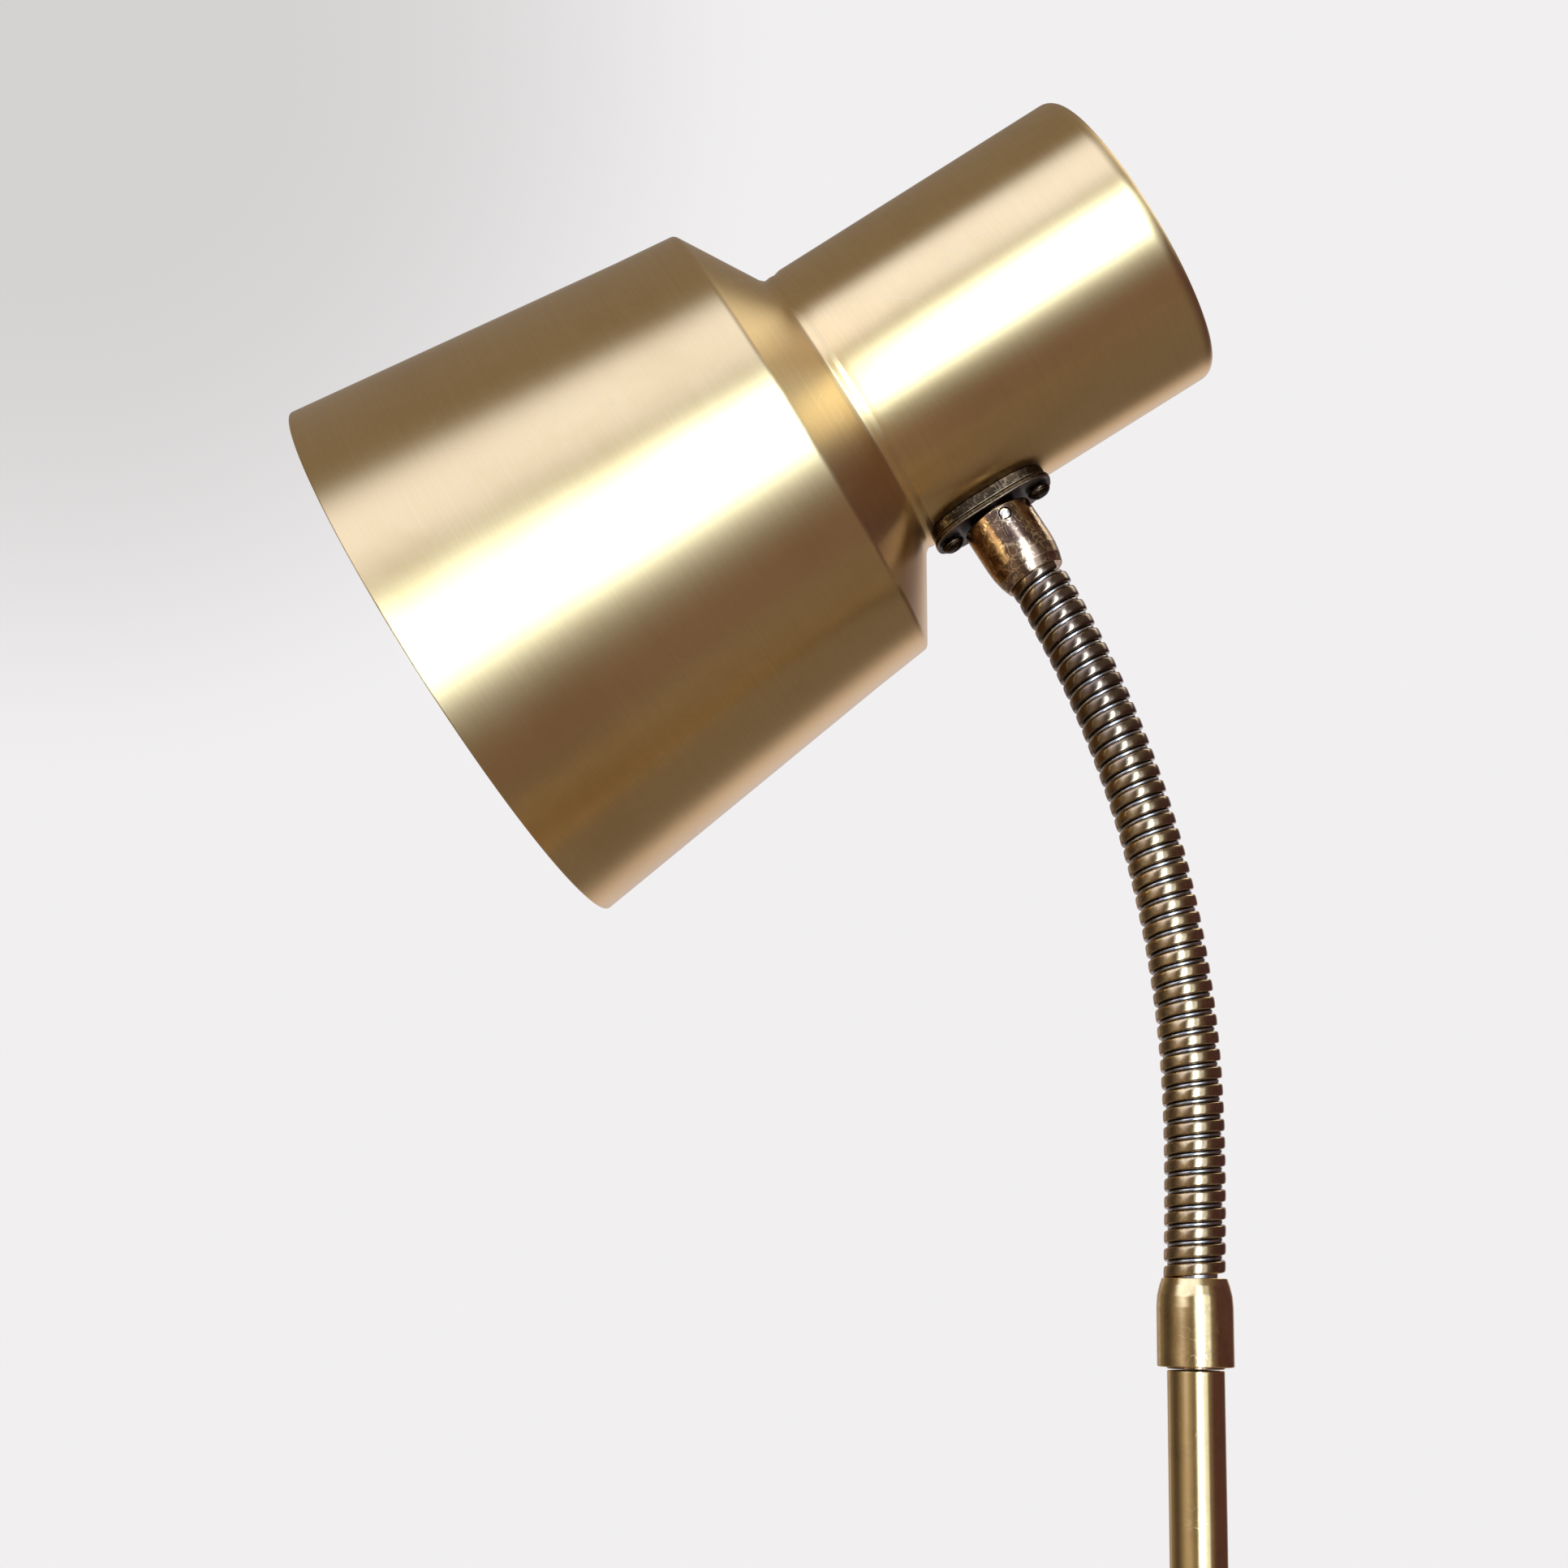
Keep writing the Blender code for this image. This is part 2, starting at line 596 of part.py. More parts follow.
def build_lampholder():
    sleeve("holder_nipple", 5.0, 3.5, HOLDER_REAR_T - 6, 165.0, "steel", SHADE_FRAME, steps=24)
    rear = BRACKET_T + BRACKET_THICK + GAP
    hex_nut("holder_nut", 14.0, 5.3, rear, rear + 3.5, "steel", SHADE_FRAME)
    cap = [(5.3, HOLDER_REAR_T), (14.5, HOLDER_REAR_T), (17.6, HOLDER_REAR_T - 2.4),
           (HOLDER_R, HOLDER_REAR_T - 8), (HOLDER_R, HOLDER_JOINT_T + GAP), (16.4, HOLDER_JOINT_T + GAP),
           (16.4, HOLDER_REAR_T - 8), (13.5, HOLDER_REAR_T - 4), (5.3, HOLDER_REAR_T - 4)]
    turned("lampholder_cap", cap, "black_plastic", SHADE_FRAME, closed=True)
    body = [(0, HOLDER_JOINT_T), (18.6, HOLDER_JOINT_T), (18.6, HOLDER_FRONT_T + 1),
            (17.6, HOLDER_FRONT_T), (14.2, HOLDER_FRONT_T), (14.2, 135.5), (0, 135.5)]
    turned("lampholder_body", body, "black_plastic", SHADE_FRAME)
    ring = [(20.2, 115.0), (21.0, 114.2), (21.0, 109.8), (20.2, 109.0), (18.9, 109.0), (18.9, 115.0)]
    turned("lampholder_ring", ring, "black_plastic", SHADE_FRAME, closed=True)
    rod("lampholder_contact", 4.0, 133.2, 135.2, "satin_brass", SHADE_FRAME, steps=16)


def build_bulb():
    cap = [(0, 132.9), (4.0, 132.9), (5.0, 131.5), (11.0, 129.0), (13.2, 126.5), (13.2, BULB_NECK_T + GAP),
           (12.2, BULB_NECK_T + GAP), (12.2, 126.0), (0, 128.5)]
    turned("bulb_cap", cap, "aluminium", SHADE_FRAME, steps=24)
    profile = bulb_outline(1.0)[::-1] + bulb_outline(0.0)
    turned("bulb_glass", profile, "bulb_glass", SHADE_FRAME, steps=22)


def bulb_outline(inset):
    """From the neck to the round end: a smooth swell, then a ball."""
    swell, ball = 6, 5
    outline = []
    for i in range(swell):
        t = BULB_NECK_T + (BULB_WIDE_T - BULB_NECK_T) * i / swell
        share = 0.5 * (1 - math.cos(math.pi * i / swell))
        outline.append((BULB_NECK_R + (BULB_R - BULB_NECK_R) * share - inset, t))
    for i in range(ball + 1):
        angle = math.pi / 2 * i / ball
        radius = (BULB_R - inset) * math.cos(angle)
        outline.append((max(0.0, radius) if i < ball else 0.0, BULB_WIDE_T - (BULB_R - inset) * math.sin(angle)))
    return outline


def build_leads():
    stem_route = [(41, 0, 10), (34, 0, 9.6), (24, 0, 8.4), (13, 0, 7.4), (5, 0, 8.2), (1.2, 0, 12),
                  (0, 0, 18), (0, 0, 30), (0, 0, 80), (0, 0, 140), (0, 0, 195), (0, 0, 236)]
    points = smooth_route([Vector(p) for p in stem_route], 14.0)
    wire("lead_stem", points, 1.4, "lead")
    head_route = [(54, 0, CUP_T), (44, 0, CUP_T), (35, 0, CUP_T), (29, 0, 124.5), (26, 0, 129),
                  (25.2, 0, 138), (25.2, 0, 150), (25.2, 0, 162), (23, 0, 169), (16, 0, 173.5),
                  (7, 0, 173.5), (1.5, 0, 170), (0, 0, 164), (0, 0, 156)]
    points = smooth_route([Vector(p) for p in head_route], 6.0)
    wire("lead_head", points, 1.4, "lead", SHADE_FRAME)


def main():
    build_base_shell()
    build_base_inside()
    build_switch()
    build_cord_inlet()
    build_stem()
    build_neck()
    build_cup()
    build_shade()
    build_swivel_plate()
    build_plate_fasteners()
    build_bracket()
    build_lampholder()
    build_bulb()
    build_leads()
    for item in LAMP.objects:
        if item.type == "MESH":
            item.data.set_sharp_from_angle(angle=math.radians(30))


main()
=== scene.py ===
"""Looks for the brass gooseneck desk lamp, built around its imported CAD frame.

Sizes are in millimetres, in the CAD's own frame, and MM turns them into metres. The neck leans in
the XZ plane, the shade points towards -X and the camera looks along +Y.
"""

import math

import bmesh
import bpy
import numpy as np
from mathutils import Matrix, Vector


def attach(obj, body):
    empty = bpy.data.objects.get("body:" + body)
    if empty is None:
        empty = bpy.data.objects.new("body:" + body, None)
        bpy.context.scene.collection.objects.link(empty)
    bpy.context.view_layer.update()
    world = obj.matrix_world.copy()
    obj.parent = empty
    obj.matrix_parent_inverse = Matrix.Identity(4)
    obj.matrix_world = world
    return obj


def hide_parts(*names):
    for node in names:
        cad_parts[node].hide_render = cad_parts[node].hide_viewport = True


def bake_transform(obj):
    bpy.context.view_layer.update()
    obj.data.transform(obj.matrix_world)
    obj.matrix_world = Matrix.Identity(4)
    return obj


MM = 0.001
TURN = math.tau
UP = Vector((0, 0, 1))

# Stem and base
BASE_R = 90.0
BASE_TOP = 24.0
BASE_EDGE_R = 10.0
SHELL_WALL = 1.0
SWITCH_X = -50.0
GLAND_Z = 11.0
HOLE_R = 5.0
COLLAR_LOW = 24.3
COLLAR_R = 15.0
TUBE_R = 6.0
TUBE_LOW = 27.3
TUBE_HIGH = 212.2
RING_LOW = 212.5
RING_HIGH = 213.7
FERRULE_LOW = 214.0
FERRULE_HIGH = 231.1
FERRULE_R = 8.05
FERRULE_LIP = 1.1

# Neck: the same centre line as the CAD's
NECK_LENGTH = 157.2
NECK_LEAN_START = -1.5
NECK_LEAN_END = 29.3
NECK_LEAN_RAMP = 0.3
NECK_PIECES = 13
NECK_TURNS = 43
NECK_STEPS = 40
BLEND_MARGIN = 1.6
TURNED_LENGTHS = (2,)  # lengths whose pair of ends is listed from the upper body down
BACK_OF_NECK = 0.25  # the share of a turn from +X to the side away from the camera
BAND_R = 6.5
BAND_FOOT_R = 5.0
WIRE_R = 0.56
WIRE_CENTRE_R = 5.2
CORE_R = 4.85
WIRE_END_SHORT = 0.64  # turns by which the wire stops short of the band inside the cup
BAND_END_SHORT = 0.02

# Shade, along its own axis from the front rim (t = 0), and u away from that axis
SHADE_TILT = 58.23
SHADE_WALL = 0.8
RIM_R = 67.4
SHOULDER_R = 55.15
SHOULDER_T = 93.6
CREASE_R = 35.8
CREASE_T = 106.0
BARREL_R = 36.2
SHADE_LENGTH = 184.0
CUP_T = 122.75
CUP_TOP_U = 40.3
CUP_BOTTOM_U = 56.9
NECK_END_U = 59.3
CUP_R = 8.3
PLATE_U = 38.0
PLATE_THICK = 1.2
PLATE_HALF = (15.0, 8.8)
SADDLE_HALF = (14.6, 8.4)
SADDLE_U = 31.0
SPIGOT_R = 5.9
SCREW_GAP = 0.3
SCREW_SPACING = 11.4
SET_SCREW_U = 42.5
SET_SCREW_TURN = 10.0

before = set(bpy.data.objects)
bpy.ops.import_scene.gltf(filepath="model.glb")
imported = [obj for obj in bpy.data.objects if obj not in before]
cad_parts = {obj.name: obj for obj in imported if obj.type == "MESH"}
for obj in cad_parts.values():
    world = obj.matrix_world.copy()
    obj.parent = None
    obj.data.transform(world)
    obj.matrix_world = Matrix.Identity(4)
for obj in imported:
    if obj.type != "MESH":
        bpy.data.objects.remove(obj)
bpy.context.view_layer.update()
scene = bpy.context.scene


# ---------------------------------------------------------------- places


def neck_lean(s):
    """The neck's lean from the vertical, in radians, at s along its length."""
    u = s / NECK_LENGTH
    ramp = NECK_LEAN_RAMP
    if u < ramp:
        share = u * u / (2 * ramp * (1 - ramp / 2))
    else:
        share = (u - ramp / 2) / (1 - ramp / 2)
    return math.radians(NECK_LEAN_START + (NECK_LEAN_END - NECK_LEAN_START) * share)


def neck_line(count=1600):
    """Tables of s, x, z and lean along the neck's centre line."""
    step = NECK_LENGTH / count
    x, z = [0.0], [FERRULE_HIGH]
    for i in range(count):
        lean = neck_lean(step * (i + 0.5))
        x.append(x[-1] - math.sin(lean) * step)
        z.append(z[-1] + math.cos(lean) * step)
    s = np.linspace(0, NECK_LENGTH, count + 1)
    return s, np.array(x), np.array(z), np.array([neck_lean(v) for v in s])


NECK_S, NECK_X, NECK_Z, NECK_LEAN = neck_line()
NECK_END = Vector((NECK_X[-1], 0, NECK_Z[-1]))


def neck_place(s):
    """Centre points and side directions of the neck at each s, running on straight past its ends."""
    s = np.asarray(s, float)
    inside = np.clip(s, 0, NECK_LENGTH)
    lean = np.interp(inside, NECK_S, NECK_LEAN)
    over = s - inside
    x = np.interp(inside, NECK_S, NECK_X) - np.sin(lean) * over
    z = np.interp(inside, NECK_S, NECK_Z) + np.cos(lean) * over
    zero = np.zeros_like(x)
    return np.stack([x, zero, z], -1), np.stack([np.cos(lean), zero, np.sin(lean)], -1)


def moved(x, y, z):
    return Matrix.Translation(Vector((x, y, z)) * MM)


def rotated(degrees, axis):
    return Matrix.Rotation(math.radians(degrees), 4, axis)


def shade_matrix():
    """The shade's axes: Z runs from the front rim to the rear end and X points down at the cup."""
    turn = rotated(SHADE_TILT, "Y")
    return moved(*(NECK_END - turn @ Vector((NECK_END_U, 0, CUP_T)))) @ turn


SHADE = shade_matrix()


def on_shade(t, u=0.0, turn=0.0):
    """A place on the shade whose own Z points from the shade's axis to the cup, turned in degrees."""
    return SHADE @ moved(u, 0, t) @ rotated(90, "Y") @ rotated(turn, "Z")


CUP = SHADE @ moved(NECK_END_U, 0, CUP_T) @ rotated(-90, "Y")


# ---------------------------------------------------------------- meshes


def rounded(profile, closed=False):
    """Points (radius, height) with the corners that give a third number rounded to that radius.

    Beside each arc is a point close by, so that the flat next to it keeps its own shading.
    The second result says how much each point belongs to an outer edge.
    """
    out, edge = [], []
    count = len(profile)
    for i, item in enumerate(profile):
        here = np.array(item[:2], float)
        ends = not closed and i in (0, count - 1)
        if len(item) < 3 or ends:
            out.append(here)
            edge.append(0.0)
            continue
        before = np.array(profile[i - 1][:2], float) - here
        after = np.array(profile[(i + 1) % count][:2], float) - here
        room = min(np.linalg.norm(before), np.linalg.norm(after))
        before, after = before / np.linalg.norm(before), after / np.linalg.norm(after)
        half = math.acos(max(-1.0, min(1.0, float(before @ after)))) / 2
        if math.pi / 2 - half < 0.01:  # no corner to round
            out.append(here)
            edge.append(0.0)
            continue
        reach = min(item[2] / math.tan(half), room * 0.49)
        radius = reach * math.tan(half)
        middle = here + (before + after) / np.linalg.norm(before + after) * (radius / math.sin(half))
        start, stop = here + before * reach, here + after * reach
        swing = math.pi - 2 * half
        steps = max(3, round(math.degrees(swing) / 11))
        a, b = start - middle, stop - middle
        side = min(radius * 0.35, room * 0.005 + reach * 0.01)
        out.append(start + before * side)
        edge.append(0.0)
        for k in range(steps + 1):
            share = k / steps
            way = a * math.sin((1 - share) * swing) + b * math.sin(share * swing)
            out.append(middle + way / math.sin(swing))
            edge.append(math.sin(math.pi * share) ** 0.5)
        out.append(stop + after * side)
        edge.append(0.0)
    return np.array(out), np.array(edge)


def mesh_object(name, points, faces, place=None, edge=None, sharp=40.0):
    """A smooth-shaded object from points in millimetres and quads, with its normals outwards."""
    mesh = bpy.data.meshes.new(name)
    corners = [tuple(p) for p in np.asarray(points) * MM]
    mesh.from_pydata(corners, [], [tuple(map(int, f)) for f in faces])
    if edge is not None:
        edge_wear_and_glint = mesh.attributes.new("edge", "FLOAT", "POINT")
        edge_wear_and_glint.data.foreach_set("value", np.asarray(edge, np.float32))
    clean(mesh)
    smooth(mesh, sharp)
    made = bpy.data.objects.new(name, mesh)
    scene.collection.objects.link(made)
    made.matrix_world = place or Matrix.Identity(4)
    return made


def smooth(mesh, sharp):
    """Smooth shading, with an edge kept wherever the surface turns by more than sharp degrees."""
    mesh.polygons.foreach_set("use_smooth", [True] * len(mesh.polygons))
    mesh.set_sharp_from_angle(angle=math.radians(sharp))


def clean(mesh, merge=1e-7):
    shape = bmesh.new()
    shape.from_mesh(mesh)
    bmesh.ops.remove_doubles(shape, verts=shape.verts, dist=merge)
    bmesh.ops.dissolve_degenerate(shape, edges=shape.edges, dist=merge)
    bmesh.ops.recalc_face_normals(shape, faces=shape.faces)
    shape.to_mesh(mesh)
    shape.free()


def grid(rows, columns, close_rows, close_columns):
    """Quads of a rows by columns grid of points."""
    i = np.arange(rows if close_rows else rows - 1)
    j = np.arange(columns if close_columns else columns - 1)
    i, j = [a.ravel() for a in np.meshgrid(i, j, indexing="ij")]
    down, right = (i + 1) % rows, (j + 1) % columns
    corners = [i * columns + j, i * columns + right, down * columns + right, down * columns + j]
    return np.stack(corners, -1)


def turned(name, profile, place=None, steps=96, closed=True, flutes=None):
    """A shape turned about its own Z. flutes is (count, depth, low, high) for grip ribs."""
    outline, edge = rounded(profile, closed)
    angle = np.arange(steps) * TURN / steps
    radius = np.repeat(outline[:, :1], steps, 1)
    height = np.repeat(outline[:, 1:], steps, 1)
    if flutes:
        count, depth, low, high = flutes
        held = np.clip((height - low) * 2, 0, 1) * np.clip((high - height) * 2, 0, 1)
        outer = radius > np.max(outline[:, 0]) - 1.0
        radius = radius - depth * held * outer * (0.5 + 0.5 * np.cos(count * angle)) ** 2
    points = np.stack([radius * np.cos(angle), radius * np.sin(angle), height], -1)
    faces = grid(len(outline), steps, closed, True)
    return mesh_object(name, points.reshape(-1, 3), faces, place, np.repeat(edge, steps))


def oval(name, long, wide, low, high, place, edge_r, power=3.0, sides=96):
    """A flat piece with a rounded oval outline: long along X, wide along Y, and low to high in Z."""
    outline, edge = rounded([(1.0, low), (0.0, low, edge_r), (0.0, high, edge_r), (1.0, high)])
    angle = np.arange(sides) * TURN / sides
    c, s = np.cos(angle), np.sin(angle)
    shape_x = np.sign(c) * np.abs(c) ** (2 / power)
    shape_y = np.sign(s) * np.abs(s) ** (2 / power)
    rings, edge_wear_and_glint = [], []
    middle = (None, low), (None, high)
    for (inset, height), edge_rub_and_glint in zip([middle[0], *outline, middle[1]], [0.0, *edge, 0.0]):
        half_x, half_y = (0.0, 0.0) if inset is None else (long - inset, wide - inset)
        rings.append(np.stack([shape_x * half_x, shape_y * half_y, np.full(sides, height)], -1))
        edge_wear_and_glint += [edge_rub_and_glint] * sides
    faces = grid(len(rings), sides, False, True)
    return mesh_object(name, np.concatenate(rings), faces, place, edge_wear_and_glint)


def cut(piece, cutter, sharp=40.0):
    """Takes cutter out of piece. The cutter is then removed."""
    change = piece.modifiers.new("cut", "BOOLEAN")
    change.operation = "DIFFERENCE"
    change.solver = "EXACT"
    change.object = cutter
    bpy.context.view_layer.update()
    graph = bpy.context.evaluated_depsgraph_get()
    mesh = bpy.data.meshes.new_from_object(piece.evaluated_get(graph))
    piece.modifiers.clear()
    piece.data = mesh
    clean(mesh, 2e-7)
    smooth(mesh, sharp)
    bpy.data.objects.remove(cutter, do_unlink=True)
    return piece


def bore(radius, low, high, place, sides):
    """A cutter for a round hole about its own Z."""
    return turned("hole", [(0, high), (radius, high), (radius, low), (0, low)], place, sides, False)


def block(name, low, high, place=None):
    """A plain box, used only as a cutter."""
    x, y, z = zip(low, high)
    points = [(x[i], y[j], z[k]) for i in (0, 1) for j in (0, 1) for k in (0, 1)]
    faces = [(0, 1, 3, 2), (4, 6, 7, 5), (0, 4, 5, 1), (2, 3, 7, 6), (0, 2, 6, 4), (1, 5, 7, 3)]
    return mesh_object(name, points, faces, place)


def settle(piece):
    """Moves a piece's place into its points, and keeps its own coordinates for its finish.

    The attribute "own" holds those coordinates, and the UV map "turning" runs round the piece's Z.
    """
    mesh = piece.data
    points = np.empty(len(mesh.vertices) * 3, np.float32)
    mesh.vertices.foreach_get("co", points)
    own = mesh.attributes.new("own", "FLOAT_VECTOR", "POINT")
    own.data.foreach_set("vector", points)
    points = points.reshape(-1, 3)
    turn = np.arctan2(points[:, 1], points[:, 0]) / TURN
    index = np.empty(len(mesh.loops), np.int32)
    mesh.loops.foreach_get("vertex_index", index)
    start = np.empty(len(mesh.polygons), np.int32)
    total = np.empty(len(mesh.polygons), np.int32)
    mesh.polygons.foreach_get("loop_start", start)
    mesh.polygons.foreach_get("loop_total", total)
    face = np.repeat(np.arange(len(start)), total)
    around = turn[index]
    first = around[start][face]
    around = around - np.round(around - first)
    height = points[index, 2] + np.hypot(points[index, 0], points[index, 1])
    layer = mesh.uv_layers.new(name="turning")
    layer.data.foreach_set("uv", np.stack([around, height * 4.0], -1).astype(np.float32).ravel())
    mesh.transform(piece.matrix_world)
    piece.matrix_world = Matrix.Identity(4)


def finish(piece, body, material, slot, *nodes):
    """Gives a piece its material, rides it on a body and stands it for CAD nodes. slot is not used."""
    if not piece.data.materials:
        piece.data.materials.append(material)
    settle(piece)
    if body:
        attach(piece, body)
    if nodes:
        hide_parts(*nodes)
    return piece


# ---------------------------------------------------------------- materials


class Tree:
    """Short calls for building one node tree."""

    def __init__(self, tree):
        self.tree = tree

    def node(self, kind, **settings):
        made = self.tree.nodes.new(kind)
        for key, value in settings.items():
            setattr(made, key, value)
        return made

    def put(self, socket, value):
        if isinstance(value, bpy.types.NodeSocket):
            self.tree.links.new(value, socket)
        elif hasattr(value, "__len__") and len(value) == 3 and len(socket.default_value) == 4:
            socket.default_value = (*value, 1.0)
        else:
            socket.default_value = value

    def math(self, operation, a, b=0.0, clamp=False):
        made = self.node("ShaderNodeMath", operation=operation, use_clamp=clamp)
        self.put(made.inputs[0], a)
        self.put(made.inputs[1], b)
        return made.outputs[0]

    def span(self, value, low, high, to_low=0.0, to_high=1.0, smooth=True):
        made = self.node("ShaderNodeMapRange")
        made.interpolation_type = "SMOOTHSTEP" if smooth else "LINEAR"
        for socket, item in zip(made.inputs, (value, low, high, to_low, to_high)):
            self.put(socket, item)
        return made.outputs[0]

    def noise(self, where, scale, stretch=(1, 1, 1), detail=3.0, rough=0.55, shift=0.0):
        place = self.node("ShaderNodeMapping")
        place.inputs["Scale"].default_value = [scale * s for s in stretch]
        place.inputs["Location"].default_value = (shift, shift * 0.7, -shift * 1.3)
        self.put(place.inputs["Vector"], where)
        made = self.node("ShaderNodeTexNoise")
        made.inputs["Scale"].default_value = 1.0
        made.inputs["Detail"].default_value = detail
        made.inputs["Roughness"].default_value = rough
        self.put(made.inputs["Vector"], place.outputs[0])
        return made.outputs[0]

    def cells(self, where, scale, feature="F1"):
        made = self.node("ShaderNodeTexVoronoi", feature=feature)
        made.inputs["Scale"].default_value = scale
        self.put(made.inputs["Vector"], where)
        return made

    def mix(self, share, a, b):
        made = self.node("ShaderNodeMix", data_type="RGBA")
        self.put(made.inputs["Factor"], share)
        self.put(made.inputs[6], a)  # sockets 6 and 7 are the colour pair
        self.put(made.inputs[7], b)
        return made.outputs[2]

    def bump(self, height, strength, distance):
        made = self.node("ShaderNodeBump")
        made.inputs["Strength"].default_value = strength
        made.inputs["Distance"].default_value = distance
        self.put(made.inputs["Height"], height)
        return made.outputs[0]

    def vector(self, operation, a, b):
        made = self.node("ShaderNodeVectorMath", operation=operation)
        self.put(made.inputs[0], a)
        self.put(made.inputs[1], b)
        return made.outputs["Value" if operation == "DOT_PRODUCT" else "Vector"]


def surface(name, carried=False):
    """A new material: its tree, its Principled shader and the piece's own coordinates."""
    made = bpy.data.materials.new(name)
    made.use_nodes = True
    tree = Tree(made.node_tree)
    shader = made.node_tree.nodes["Principled BSDF"]
    if carried:
        where = tree.node("ShaderNodeTexCoord").outputs["Object"]
    else:
        where = tree.node("ShaderNodeAttribute", attribute_name="own").outputs["Vector"]
    return made, tree, shader, where


def dress(tree, shader, colour, rough, normal, metallic=1.0):
    for name, value in (("Base Color", colour), ("Roughness", rough), ("Normal", normal)):
        tree.put(shader.inputs[name], value)
    shader.inputs["Metallic"].default_value = metallic


def pits(tree, where, scale, share, size):
    """1 in small round spots: one in each cell, kept in only a share of the cells."""
    cells = tree.cells(where, scale)
    near = tree.span(cells.outputs["Distance"], size * 0.5, size, 1.0, 0.0)
    split = tree.node("ShaderNodeSeparateColor")
    tree.put(split.inputs[0], cells.outputs["Color"])
    kept = tree.math("GREATER_THAN", split.outputs[0], 1.0 - share)
    return tree.math("MULTIPLY", near, kept)


def scratches(tree, where, scale, width, share, shift=0.0, stretch=(1, 1, 1)):
    """1 along thin, broken, curving lines."""
    field = tree.noise(where, scale, stretch, detail=1.0, shift=shift)
    line = tree.math("ABSOLUTE", tree.math("SUBTRACT", field, 0.5))
    thin = tree.span(line, width * 0.3, width, 1.0, 0.0)
    broken = tree.noise(where, scale * 0.7, detail=2.0, shift=shift + 11.0)
    return tree.math("MULTIPLY", thin, tree.span(broken, 0.66 - share, 0.70 - share))


def spun_brass(name):
    """Satin brass, spun on a lathe: fine rings about the piece's own Z, soft tarnish, few marks."""
    made, tree, shader, where = surface(name)
    rings = tree.noise(where, 1.0, (14, 14, 1500), detail=4.0, rough=0.7)
    fine = tree.noise(where, 1.0, (60, 60, 5200), detail=2.0, rough=0.6, shift=3.0)
    cloud = tree.noise(where, 26.0, detail=5.0, rough=0.62)
    soft = tree.noise(where, 7.0, detail=2.0, shift=5.0)
    speck = pits(tree, where, 420.0, 0.02, 0.12)
    dent = pits(tree, where, 75.0, 0.012, 0.10)
    hair = scratches(tree, where, 55.0, 0.006, 0.12, 2.0)
    marks = tree.math("MAXIMUM", speck, tree.math("MULTIPLY", hair, 0.5))
    grain = tree.math("ADD", tree.math("MULTIPLY", rings, 0.55), tree.math("MULTIPLY", fine, 0.45))
    colour = tree.mix(tree.span(grain, 0.3, 0.7), (0.82, 0.562, 0.246), (0.88, 0.615, 0.284))
    tarnish = tree.math("MULTIPLY", tree.span(cloud, 0.42, 0.72), 0.35)
    colour = tree.mix(tarnish, colour, (0.66, 0.42, 0.165))
    colour = tree.mix(tree.math("MULTIPLY", marks, 0.55), colour, (0.92, 0.74, 0.40))
    colour = tree.mix(dent, colour, (0.30, 0.20, 0.10))
    ringed, patchy = tree.span(grain, 0.25, 0.75, 0.345, 0.39), tree.span(soft, 0.3, 0.7, -0.02, 0.03)
    rough = tree.math("ADD", tree.math("ADD", ringed, patchy), tree.math("MULTIPLY", marks, 0.08))
    shader.inputs["Anisotropic"].default_value = 0.92
    shader.inputs["Anisotropic Rotation"].default_value = 0.25
    tangent = tree.node("ShaderNodeTangent", direction_type="UV_MAP", uv_map="turning")
    tree.put(shader.inputs["Tangent"], tangent.outputs[0])
    height = tree.math("SUBTRACT", grain, tree.math("MULTIPLY", tree.math("ADD", marks, dent), 0.8))
    dress(tree, shader, colour, rough, tree.bump(height, 0.10, 0.00004))
    return made


def polished_brass(name, drawn=(1, 1, 1), tarnish=0.35, carried=False):
    """Bright brass under old lacquer, with brown bloom, fine rubbing lines and small spots."""
    made, tree, shader, where = surface(name, carried)
    lines = tree.noise(where, 900.0, drawn, detail=3.0, rough=0.6)
    bloom = tree.noise(where, 160.0, detail=6.0, rough=0.7)
    patch = tree.noise(where, 60.0, detail=3.0, shift=7.0)
    spots = pits(tree, where, 900.0, 0.05, 0.16)
    hair = scratches(tree, where, 210.0, 0.012, 0.12, 4.0)
    colour = tree.mix(tree.span(lines, 0.35, 0.65), (0.86, 0.60, 0.25), (0.78, 0.53, 0.215))
    share = tree.math("MULTIPLY", tree.span(bloom, 0.42, 0.70), tarnish)
    colour = tree.mix(share, colour, (0.50, 0.31, 0.14))
    colour = tree.mix(tree.math("MULTIPLY", spots, 0.7), colour, (0.22, 0.13, 0.06))
    rough = tree.math("ADD", tree.span(lines, 0.3, 0.7, 0.12, 0.17), tree.span(patch, 0.3, 0.7, 0.0, 0.05))
    rough = tree.math("ADD", rough, tree.math("MULTIPLY", hair, 0.10))
    height = tree.math("SUBTRACT", tree.math("MULTIPLY", bloom, 0.8), tree.math("MULTIPLY", hair, 0.5))
    dress(tree, shader, colour, rough, tree.bump(height, 0.10, 0.00006))
    return made


